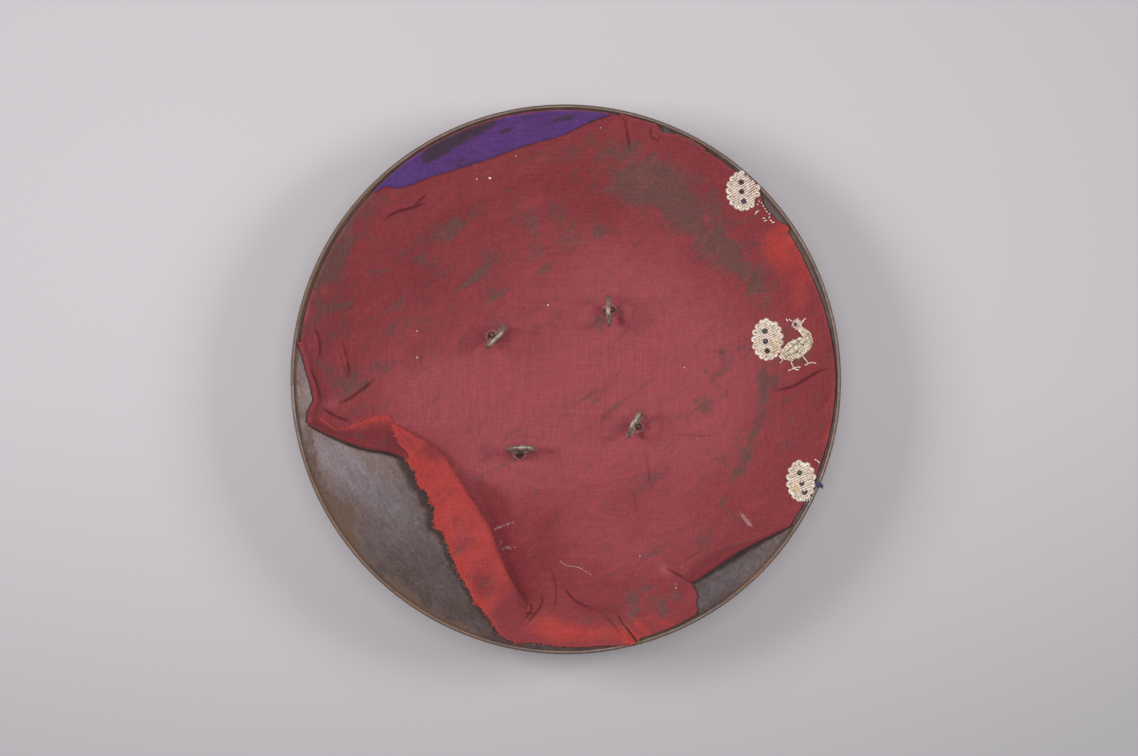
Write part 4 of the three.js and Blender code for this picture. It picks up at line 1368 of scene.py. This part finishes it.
def mark_lining(lining, points, kind, share, folding):
    """Stores how soiled, fresh, faded, dark, scuffed and creased each place of the lining is. The dark marks
    beside the band's roll and round the rings, the soiling on the band and the crease lines hold painted
    shade, and one scuffed place is a painted glint.
    """
    pixels = pixels_of(points)
    from_centre = points - bowl_centre
    plan = from_centre[:, :2] * (inner_radius / np.linalg.norm(from_centre, axis=1))[:, None]
    flat = kind == 0
    band_soil_and_shade = marks(pixels, BAND_SOIL_AND_SHADE)

    def over(flat_values, *folded_values):
        """Values of the flat part, blended into those of the strip, the flap and the band."""
        return flat_values + (np.choose(kind, [flat_values, *folded_values]) - flat_values) * folding

    band_fresh = 0.75 + 0.6 * share ** 4 - 0.5 * band_soil_and_shade
    band_deep = 0.2 - 0.2 * share + 0.8 * band_soil_and_shade
    with_values(
        lining,
        grime=over(marks(pixels, GRIME), 0.5 * band_soil_and_shade, 0.4 * band_soil_and_shade, 0.42 * band_soil_and_shade),
        fresh=over(marks(pixels, FRESH), 0.1 + 1.2 * share ** 5, 0.15 + 0.15 * share, band_fresh),
        faded=over(marks(pixels, FADED), 0.05, 0.5 * share, 0.05),
        deep=over(marks(pixels, DEEP_TONE_AND_SHADE), 1.1 - 0.9 * share ** 2, 0.9 - 0.8 * share, band_deep),
        scuff=np.where(flat, marks(pixels, SCUFFS_AND_GLINT), 0),
        crease=np.where(flat, crease_field(plan)[1], 0).clip(0, 1),
    )


def lining_piece(material, parts):
    """The lining as one cloth: its flat part, and the strip, the flap and the band that fold from it."""
    outline, torn_edges, strip, flap, band, closing = parts
    plan, net = cloth_net(outline, shank_openings(shank_hole), close_points(), CLOTH_STEP)
    roots = np.vstack([[row[0][0] for row in rows] for rows in (strip, flap, band, closing)])
    raises = np.concatenate([[row[3] for row in rows] for rows in (strip, flap, band, closing)])
    points = [above(plan, flat_lift(plan, torn_edges, roots, raises, len(raises) - len(closing)))]
    faces = [tuple(face) for face in net]
    start = len(plan)
    kinds, shares, folding = [np.zeros(start, int)], [np.zeros(start)], [np.zeros(start)]
    for kind, rows in enumerate((strip, flap, band), 1):
        for i, (row_plan, row_lift, row_share, _) in enumerate(rows):
            run_out = float(eased((1 - i / (len(rows) - 1)) / 0.22)) if rows is band else 1.0
            points.append(above(row_plan, CLOTH_LIFT + row_lift))
            kinds.append(np.full(len(row_plan), kind))
            shares.append(row_share)
            folding.append(np.full(len(row_plan), run_out))
        count = len(rows[0][0])
        faces += row_faces(start, len(rows), count)
        start += count * len(rows)
    points = np.vstack(points)
    lining = piece_from("cloth_lining", points, faces, material)
    mark_lining(lining, points, np.concatenate(kinds), np.concatenate(shares), np.concatenate(folding))
    merged(lining, WELD, closed=False)
    thickened(lining, CLOTH_THICKNESS)
    return lining


def border_piece(material):
    """Violet strip sewn over the top of the lining, and the line of its seam."""
    seam = smooth_path(plan_of(BORDER_SEAM, BORDER_LIFT), 260)
    wander = uneven(seam, 4 * MM, 2.2) * 0.35 * MM
    along = np.gradient(seam, axis=0)
    normal = np.column_stack([-along[:, 1], along[:, 0]]) / np.linalg.norm(along, axis=1)[:, None]
    seam = seam + normal * wander[:, None]
    edge = BORDER_RIM_SHARE * lining_radius
    first, last = bearing_of(seam[-1]), bearing_of(seam[0])
    bearings = np.radians(np.arange(first + 0.5, last - 0.4, 0.4))
    rim = np.column_stack([np.cos(bearings), np.sin(bearings)]) * edge
    seam = seam * np.minimum(1, edge / np.linalg.norm(seam, axis=1))[:, None]
    outline = np.vstack([rim, seam])
    plan, faces = cloth_net(outline, [], [], BORDER_STEP)
    near_edge = distance_to(nearest_tree(outline), plan)
    hem = 0.35 * MM * np.exp(-(near_edge / (1.6 * MM)) ** 2)
    points = above(plan, lining_lift(plan) + (BORDER_THICKNESS + CLOTH_THICKNESS) / 2 + 0.25 * MM + hem)
    border = piece_from("violet_border", points, [tuple(face) for face in faces], material)
    pixels = pixels_of(points)
    with_values(border, grime=marks(pixels, BORDER_GRIME), faded=marks(pixels, BORDER_FADED))
    thickened(border, BORDER_THICKNESS)
    return border, seam


def seam_stitches(seam, tree, material):
    """Small slip stitches that hold the border's edge down."""
    places, turns, sizes = [], [], []
    path = stepped(seam, SEAM_STITCH_STEP)
    lifted = above(path, lining_lift(path) + 1.05 * MM)
    for a, b in zip(lifted[2:-2], lifted[3:-1]):
        middle = (a + b) / 2
        normal = bowl_centre - middle
        side = np.cross(normal / np.linalg.norm(normal), (b - a) / np.linalg.norm(b - a))
        places.append(middle)
        turns.append(turn_to(side + 0.4 * (b - a) / np.linalg.norm(b - a), normal))
        sizes.append(SEAM_STITCH)
    return laid_threads("border_stitches", tree, places, turns, sizes, material)


def fray_ends(parts, tree, material):
    """Loose thread ends along the torn edges."""
    _, torn_edges, strip, flap, band, _ = parts
    places, turns, sizes = [], [], []

    def along_edge(points, outwards, per_step, longest):
        for i in range(1, len(points) - 1):
            for _ in range(RANDOM.poisson(per_step)):
                spot = points[i] + (points[i + 1] - points[i]) * RANDOM.random()
                normal = bowl_centre - spot
                sway = RANDOM.normal(0, 0.55) * (points[i + 1] - points[i - 1])
                heading = outwards[i] + sway / np.linalg.norm(points[i + 1] - points[i - 1])
                heading = heading + normal / np.linalg.norm(normal) * RANDOM.normal(0.0, 0.2)
                length = longest * (0.25 + 0.75 * RANDOM.random() ** 2)
                places.append(spot - outwards[i] * 0.5 * MM)
                turns.append(turn_to(heading, normal))
                sizes.append((length, length, length))

    for rows, (per_step, longest) in ((band, BAND_FRAYS), (strip, STRIP_FRAYS)):
        edge = np.vstack([above(row[0][-1:], CLOTH_LIFT + row[1][-1]) for row in rows])
        inner = np.vstack([above(row[0][-3:-2], CLOTH_LIFT + row[1][-3]) for row in rows])
        out = (edge - inner) / np.linalg.norm(edge - inner, axis=1)[:, None]
        along_edge(edge, out, per_step, longest)
    for points, (_, _, _, per_step, longest) in zip(torn_edges, TORN_EDGES):
        edge = above(points, lining_lift(points) + 0.2 * MM)
        step = np.gradient(points, axis=0)
        out = np.column_stack([step[:, 1], -step[:, 0], np.zeros(len(step))])
        out /= np.linalg.norm(out, axis=1)[:, None]
        along_edge(edge, out, per_step, longest * MM)
    return laid_threads("lining_frays", tree, places, turns, sizes, material, 0.4, 5)


# Embroidered peacocks

STITCH_LIFT = 1.75 * MM
STITCH_RISE = 0.78 * MM
DOT_RISE = 0.3 * MM
PADDING_LIFT = 0.42 * MM
PADDING_THICKNESS = 0.2 * MM
PADDING_STEP = 1.6 * MM

# Pitch, length and width of the stitches that fill a shape, in pixels of the photograph
TAIL_STITCH = (2.25, 3.5, 1.75)
BODY_STITCH = (2.1, 3.6, 1.6)
HEAD_STITCH = (1.3, 2.6, 1.1)
GOLDEN_STITCH = (2.0, 3.4, 1.7)
LOBE_STITCHES = 8
LOBE_STITCH_WIDTH = 1.25

# Heights of lines and torn bits over the other stitches
LINE_RISE = 0.5 * MM
BIT_RISE = 0.3 * MM

KNOT_STITCHES = 11
TUFT_THREADS = 36

# White lint: x, y and size of each speck, and the line of a fibre, in pixels of the photograph
SPECKS = [
    (489.8, 177.8, 2.6), (476.7, 178.8, 1.5), (548, 305, 1.6), (417, 331, 1.5), (417, 358, 1.2),
    (600.6, 127.7, 1.1), (516, 156, 1.1), (516.5, 145.5, 1.2), (684.5, 367.6, 1.2), (417, 357, 1.1),
    (676, 588, 1.3), (640, 556, 1.2),
]
FIBRE = [(560, 561), (566, 565.5), (578.5, 567.6), (591.4, 575.3)]
TUFT_ROOT = (814.5, 484)


def oval(centre, radii, count=90):
    angles = np.linspace(0, 2 * math.pi, count, endpoint=False)
    return np.column_stack([centre[0] + radii[0] * np.cos(angles), centre[1] - radii[1] * np.sin(angles)])


def fan_tail(stitches, centre, radii, lobes, turn, within=None, notch=None):
    """A scalloped tail: a fan of short stitches in each lobe, and leaning rows of stitches inside."""
    lobe = math.pi * (radii[0] + radii[1]) / 2 / lobes
    for i in range(lobes):
        angle = 2 * math.pi * (i + 0.5) / lobes
        out = np.array([math.cos(angle) * radii[0], -math.sin(angle) * radii[1]])
        facing = np.array([math.cos(angle) / radii[0], -math.sin(angle) / radii[1]])
        facing /= np.linalg.norm(facing)
        level = np.array([-facing[1], facing[0]])
        dip = 2.6 if notch and abs(math.degrees(angle) - notch) < 180 / lobes else 0
        heart = np.array(centre) + out - facing * (lobe * 0.95 + dip)
        if within is not None and not inside(heart.reshape(1, 2), within)[0]:
            continue
        for bend in np.linspace(-100, 100, LOBE_STITCHES):
            spread = math.radians(bend)
            way = facing * math.cos(spread) + level * math.sin(spread)
            stitches.add(heart + way * lobe * 0.2, heart + way * lobe * 0.98, LOBE_STITCH_WIDTH)
    shape = oval(centre, (radii[0] - lobe * 1.05, radii[1] - lobe * 1.05))
    filled(stitches, shape, turn, TAIL_STITCH, within)


def tail_shape(centre, radii, cloth):
    """Outline of the padding under a tail, drawn in to where its cloth ends."""
    shape = oval(centre, (radii[0] - 2.6, radii[1] - 2.6))
    middle = np.array(centre)
    for i in range(len(shape) if cloth else 0):
        while not inside(shape[i:i + 1], TAIL_CLOTH[cloth])[0]:
            shape[i] = middle + (shape[i] - middle) * 0.97
    return shape


def padding(name, shape, material):
    """Padding under a part of a peacock, so that no red shows between its threads. Its tone, darker than the
    threads, is painted shade in the gaps between them.
    """
    net, faces = cloth_net(plan_of(shape, STITCH_LIFT), [], [], PADDING_STEP)
    points = above(net, lining_lift(net) + PADDING_LIFT)
    piece = piece_from(name, points, [tuple(face) for face in faces], material)
    thickened(piece, PADDING_THICKNESS)
    return piece


def filled(stitches, outline, turn, sizes, within=None):
    """Covers a shape with rows of slanted stitches, every second row a little less slanted."""
    pitch, length, width = sizes
    outline = np.asarray(outline, float)
    angle = math.radians(turn)
    run = np.array([math.cos(angle), -math.sin(angle)])
    side = np.array([run[1], -run[0]])
    middle = outline.mean(0)
    row = 0
    for across in np.arange(-30, 30, length * 0.72):
        for along in np.arange(-30, 30, pitch):
            spot = (middle + run * along + side * across).reshape(1, 2)
            if inside(spot, outline)[0] and (within is None or inside(spot, within)[0]):
                lean = -0.1 if row % 2 else -0.3
                half = (side + run * lean) * length / 2
                stitches.add(spot[0] - half, spot[0] + half, width)
        row += 1


# Tails: name of the padding, centre and radii, number of lobes, turn of the stitches, the cloth that the
# tail ends at and the bearing of its notch. These and the tables below are in pixels and degrees.
TAILS = [
    ("tail_ground_middle", (767.5, 339.5), (16.6, 21.6), 17, -62, None, 68),
    ("tail_ground_top", (743, 190.8), (17.6, 20.6), 17, -58, "top", None),
    ("tail_ground_bottom", (801.2, 480.8), (15.6, 21.4), 16, -66, "bottom", 70),
]

# Cloth that the two torn peacocks are on
TAIL_CLOTH = {
    "top": [
        (700, 150), (738, 170.5), (748, 177.5), (753, 182), (757, 187), (759, 192), (754.5, 199),
        (754.5, 205), (754, 210), (750, 215), (700, 216),
    ],
    "bottom": [
        (780, 455), (812, 457), (819, 467), (817.5, 478), (814, 489), (811, 499), (806, 506), (780, 506),
    ],
}

# Middle peacock, which is whole
MIDDLE_BODY = [
    (779.5, 358.5), (785, 360), (792, 360.2), (802.5, 356.3), (810.6, 348.8), (813.2, 341.3),
    (810.6, 333.1), (805.6, 328.8), (801, 326), (797, 328.5), (800, 332.5), (802.5, 337), (798, 337.8),
    (793.8, 340.6), (788.8, 342), (786, 345), (780.6, 353),
]
MIDDLE_HEAD = [
    (798, 318), (793.2, 320.4), (792, 325), (794.8, 329.6), (799.5, 329), (801, 325), (800.5, 320.5),
]
MIDDLE_LINES = [
    [(790.6, 359), (792, 364), (794, 368.3)], [(794, 368.3), (791.5, 369.6), (788.5, 370.6)],
    [(794, 368.3), (797, 370), (799, 369.5)], [(794, 368.3), (797, 367), (800.5, 367.2)],
    [(803.1, 356.3), (806, 360), (809, 363.3)], [(809, 363.3), (807, 364.3), (805, 365.2)],
    [(809, 363.3), (812.5, 362.4), (816.3, 363.3)], [(783, 360), (780.3, 363)],
    [(800, 323.2), (803, 320.6), (805.8, 318.3)], [(800, 325.3), (802.4, 323), (804, 320.6)],
    [(792, 321.2), (789, 319.3)], [(786.4, 318.6), (787.8, 321.8)],
]

# Dark knots: centre, radius and, where one is worn through, the bearings of the gap
DARK_KNOTS = [
    ((765.2, 331.2), 3.0, None), ((765.7, 341.4), 3.0, None), ((767.7, 350.8), 3.0, None),
    ((741.4, 182), 3.0, None), ((741.8, 191.4), 3.0, None), ((743.9, 201.3), 3.0, None),
    ((800, 473.1), 2.9, None), ((802.2, 483.6), 2.8, (60, 150)), ((805.1, 492.4), 3.1, (40, 140)),
    ((795.6, 324), 1.6, None), ((795.6, 325.3), 1.3, None),
]

# Wing and breast of the middle peacock
WING_EDGE = [(780.6, 353.2), (788.8, 343.4), (799, 339)]
WING_LINES = [
    [(783, 355), (788, 350.6), (793, 347.6), (795.5, 344)], [(786, 356.8), (792, 354), (797.5, 351.5)],
    [(788.8, 351.3), (792, 347.3)], [(797.5, 351.5), (800.5, 347.5), (803.6, 345.2)],
    [(796, 338), (798.6, 342.2)], [(798.6, 342.2), (802.4, 339)], [(798.6, 342.2), (803.8, 345)],
    [(798.6, 342.2), (795.6, 344.4)], [(803.6, 345.2), (805.6, 340)],
    [(808.5, 333), (811.5, 339.5), (810, 346)], [(797.5, 351.5), (801, 354)],
]
WING_SCALES = [
    (790.4, 345.6), (794.4, 341.8), (800, 338.8), (803.6, 341.8), (800.4, 345.6), (796.6, 347.6),
    (792.6, 349.6),
]
BREAST_SCALES = [(806.4, 349.6), (808.6, 345), (804, 352.6), (807.6, 338), (804.6, 333.6), (799.6, 330.4)]
GOLDEN_PATCHES = [((775.4, 347.5), (3.4, 8), -62), ((795.4, 488), (3.8, 6.5), -66)]

# Loose stitches left where the two torn peacocks have worn away: start, end and width
TOP_BITS = [
    ((754.8, 214.6), (757.6, 210.8), 1.6), ((757, 212), (759.3, 210), 1.3),
    ((762.2, 218.2), (765.8, 218), 1.7), ((763.6, 221.3), (767.4, 219.8), 1.5),
    ((769.6, 219.8), (772.2, 220.9), 1.4), ((771.5, 222.3), (775, 222.2), 1.3),
    ((761.3, 202), (762.4, 203.8), 1.2), ((763, 204.8), (764, 206.8), 1.2),
    ((764.5, 207.5), (765.8, 209.5), 1.2), ((766.3, 210.4), (767.8, 212.3), 1.2),
    ((768.5, 213), (770.2, 214.4), 1.3), ((757.2, 203.5), (758.6, 205.4), 1.2),
    ((758.8, 199.8), (759.6, 202), 1.1), ((770, 216), (768.8, 218.4), 1.1),
]
LOWER_BITS = [
    ((814.9, 459.4), (816.6, 460.2), 1.5), ((816.4, 459.8), (820.4, 463.6), 1.4),
    ((808.6, 498), (810.2, 501), 1.2), ((810.4, 496.8), (812.4, 499.2), 1.1),
    ((806.8, 499.6), (807.6, 502), 1.1),
]


def peacock_stitches():
    """Pale, silver, golden and dark stitches of the three peacocks."""
    pale, silver, golden, dark = (Stitches(STITCH_LIFT) for _ in range(4))
    for _, centre, radii, lobes, turn, cloth, notch in TAILS:
        fan_tail(pale, centre, radii, lobes, turn, cloth and TAIL_CLOTH[cloth], notch)
    filled(silver, MIDDLE_BODY, 42, BODY_STITCH)
    filled(pale, MIDDLE_HEAD, 80, HEAD_STITCH)
    for centre, radii, turn in GOLDEN_PATCHES:
        filled(golden, oval(centre, radii), turn, GOLDEN_STITCH)
    for line in MIDDLE_LINES:
        pale.line(line, 1.35)
    pale.line(WING_EDGE, 1.9)
    for spot in WING_SCALES:
        pale.dot(spot, 1.6)
    for spot in BREAST_SCALES:
        pale.dot(spot, 1.1)
    for start, end, width in [*TOP_BITS, *LOWER_BITS]:
        pale.add(start, end, width, BIT_RISE)
    for line in WING_LINES:
        dark.line(line, 0.6, 2.6, LINE_RISE)
    for centre, radius, gap in DARK_KNOTS:
        dark.dot(centre, radius, gap)
    return pale, silver, golden, dark


def tuft(tree, material):
    """Dark threads that hang over the bead beside the lowest peacock."""
    root = above(plan_of(TUFT_ROOT, 2 * MM), 2.6 * MM)[0]
    over = np.array([root[0] + 9 * MM, root[1] - 1 * MM, cad_high.z + 0.6 * MM])
    heading = over - root
    places, turns, sizes = [], [], []
    for _ in range(TUFT_THREADS):
        spot = root + heading * RANDOM.uniform(0, 0.45) + RANDOM.normal(0, 0.9 * MM, 3) * [0.5, 1.6, 0.25]
        way = heading / np.linalg.norm(heading) + RANDOM.normal(0, 0.28, 3)
        length = RANDOM.uniform(3.2, 6) * MM
        places.append(spot)
        turns.append(turn_to(way, (0, 0, 1)))
        sizes.append((length, length, length))
    return laid_threads("dark_tuft", tree, places, turns, sizes, material, 0.3, 8)


def lint(tree, material):
    """White specks and fibres caught on the cloth."""
    specks = Stitches(STITCH_LIFT)
    for x, y, size in SPECKS:
        specks.add((x - size * 0.4, y), (x + size * 0.4, y + size * 0.2), size)
    specks.line(smooth_path(FIBRE, 12), 0.36, 2.0)
    return specks.laid("lint", tree, material)


# Stage

def camera():
    made = bpy.data.objects.new("camera", bpy.data.cameras.new("camera"))
    made.data.lens = CAMERA_LENS
    made.data.sensor_width = SENSOR_WIDTH
    turn = Matrix(camera_turn.tolist()).to_4x4()
    made.matrix_world = Matrix.Translation(Vector(camera_place)) @ turn
    bpy.context.scene.collection.objects.link(made)
    bpy.context.scene.camera = made


def soft_light(name, place, size, power):
    lamp = bpy.data.lights.new(name, "AREA")
    lamp.shape = "SQUARE"
    lamp.size = size
    lamp.energy = power
    made = bpy.data.objects.new(name, lamp)
    made.location = place
    made.rotation_euler = (-Vector(place)).to_track_quat("-Z", "Y").to_euler()
    bpy.context.scene.collection.objects.link(made)


def floor_paper():
    """Pale paper that darkens away from the light and towards the lower side of the picture."""
    paper = Finish("pale_floor", Metallic=0, Roughness=0.9, Specular_IOR_Level=0.1)
    away = paper.node("ShaderNodeVectorMath", {0: paper.place, 1: FLOOR_LIGHT_PLACE}, 1, operation="DISTANCE")
    up = paper.node("ShaderNodeSeparateXYZ", {0: paper.place}, 1)
    lower = paper.times(paper.maths("MAXIMUM", paper.times(up, -1.0), 0.0), 1.36)
    share = paper.times(paper.maths("POWER", away, 2.0), 1.43)
    share = paper.maths("MINIMUM", paper.plus(share, lower), 1.15)
    return paper.finish(Base_Color=paper.mixed(share, (210, 205, 209), (182, 179, 183)))


def stage():
    near, far = -FLOOR_REACH, FLOOR_REACH
    corner_places = [(near, near, 0), (far, near, 0), (far, far, 0), (near, far, 0)]
    floor = piece_from("floor", corner_places, [(0, 1, 2, 3)], floor_paper())
    for name, (place, size, power) in LIGHTS.items():
        soft_light(name, place, size, power)
    world = bpy.data.worlds.new("studio")
    world.use_nodes = True
    world.node_tree.nodes["Background"].inputs["Color"].default_value = STUDIO_TONE
    world.node_tree.nodes["Background"].inputs["Strength"].default_value = STUDIO_STRENGTH
    bpy.context.scene.world = world
    bpy.context.scene.view_settings.view_transform = "Standard"


def dressed(piece, body, slot, *nodes):
    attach(piece, body)
    if nodes:
        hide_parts(*nodes)


# Whole shield

fittings = fitting_frames()
camera()
stage()

stitch_tree = thread_tree("stitches", plump_thread)
fray_tree = thread_tree("thread_ends", loose_end)
steel = bowl_steel()
washer_metal = iron("washer_iron", (134, 62, 66), (156, 80, 84), (192, 132, 130), 0.0, 0.1)
ring_metal = iron("ring_iron", (122, 104, 94), (182, 164, 152), (244, 232, 224), 0.35)
dark_metal = iron("dark_iron", (62, 52, 48), (98, 84, 77), (168, 154, 145), 0.6)
red = red_cotton()
violet = violet_cotton()
pale_thread = thread("pale_thread", (255, 246, 234), (214, 188, 170), (232, 206, 184))
# Padding tone, darker than the threads, stands in for the shade between the stitches.
ground_thread = thread("ground_thread", (202, 178, 158), (160, 128, 110))
silver_thread = thread("silver_thread", (252, 240, 218), (190, 166, 130), (206, 186, 144))
golden_thread = thread("golden_thread", (236, 208, 160), (180, 146, 102))
dark_thread = thread("dark_thread", (92, 76, 84), (40, 28, 38))
fray_thread = thread("red_thread", (208, 88, 72), (150, 52, 50))
tuft_thread = thread("tuft_thread", (84, 68, 112), (42, 32, 62))
violet_thread = thread("violet_thread", (96, 62, 122), (60, 36, 80))

dressed(bowl_piece(steel), "shield", "bowl_steel", "shell")
for fitting in fittings:
    place = fitting["place"]
    dressed(ring_piece(fitting, ring_metal), f"{place}_ring", "ring_iron", f"ring_{place}")
    dressed(eyebolt_piece(fitting, dark_metal), "shield", "dark_iron", f"eyebolt_{place}")
    dressed(washer_piece(fitting, washer_metal), "shield", "dark_iron", f"washer_{place}")
    dressed(boss_piece(fitting, dark_metal), "shield", "dark_iron", f"boss_{place}")

parts = lining_parts()
lining = lining_piece(red, parts)
dressed(lining, "shield", "red_cotton", "lining")
frays = fray_ends(parts, fray_tree, fray_thread)
dressed(frays, "shield", "red_cotton")
border, seam = border_piece(violet)
dressed(border, "shield", "violet_cotton", "lining_border")
seam_threads = seam_stitches(seam, stitch_tree, violet_thread)
dressed(seam_threads, "shield", "violet_cotton")

pale, silver, golden, dark = peacock_stitches()
pale_piece = pale.laid("peacocks_pale", stitch_tree, pale_thread, 3)
silver_piece = silver.laid("peacock_body", stitch_tree, silver_thread, 4)
golden_piece = golden.laid("peacocks_golden", stitch_tree, golden_thread, 6, 1.08)
dark_piece = dark.laid("peacocks_dark", stitch_tree, dark_thread, 5)
grounds = [
    padding(name, tail_shape(centre, radii, cloth), ground_thread)
    for name, centre, radii, _, _, cloth, _ in TAILS
]
grounds.append(padding("body_ground", MIDDLE_BODY, ground_thread))
dressed(pale_piece, "shield", "pale_thread")
dressed(silver_piece, "shield", "pale_thread")
dressed(golden_piece, "shield", "pale_thread")
dressed(dark_piece, "shield", "dark_thread")
for ground in grounds:
    dressed(ground, "shield", "pale_thread")
dressed(tuft(fray_tree, tuft_thread), "shield", "dark_thread")
dressed(lint(stitch_tree, pale_thread), "shield", "pale_thread")
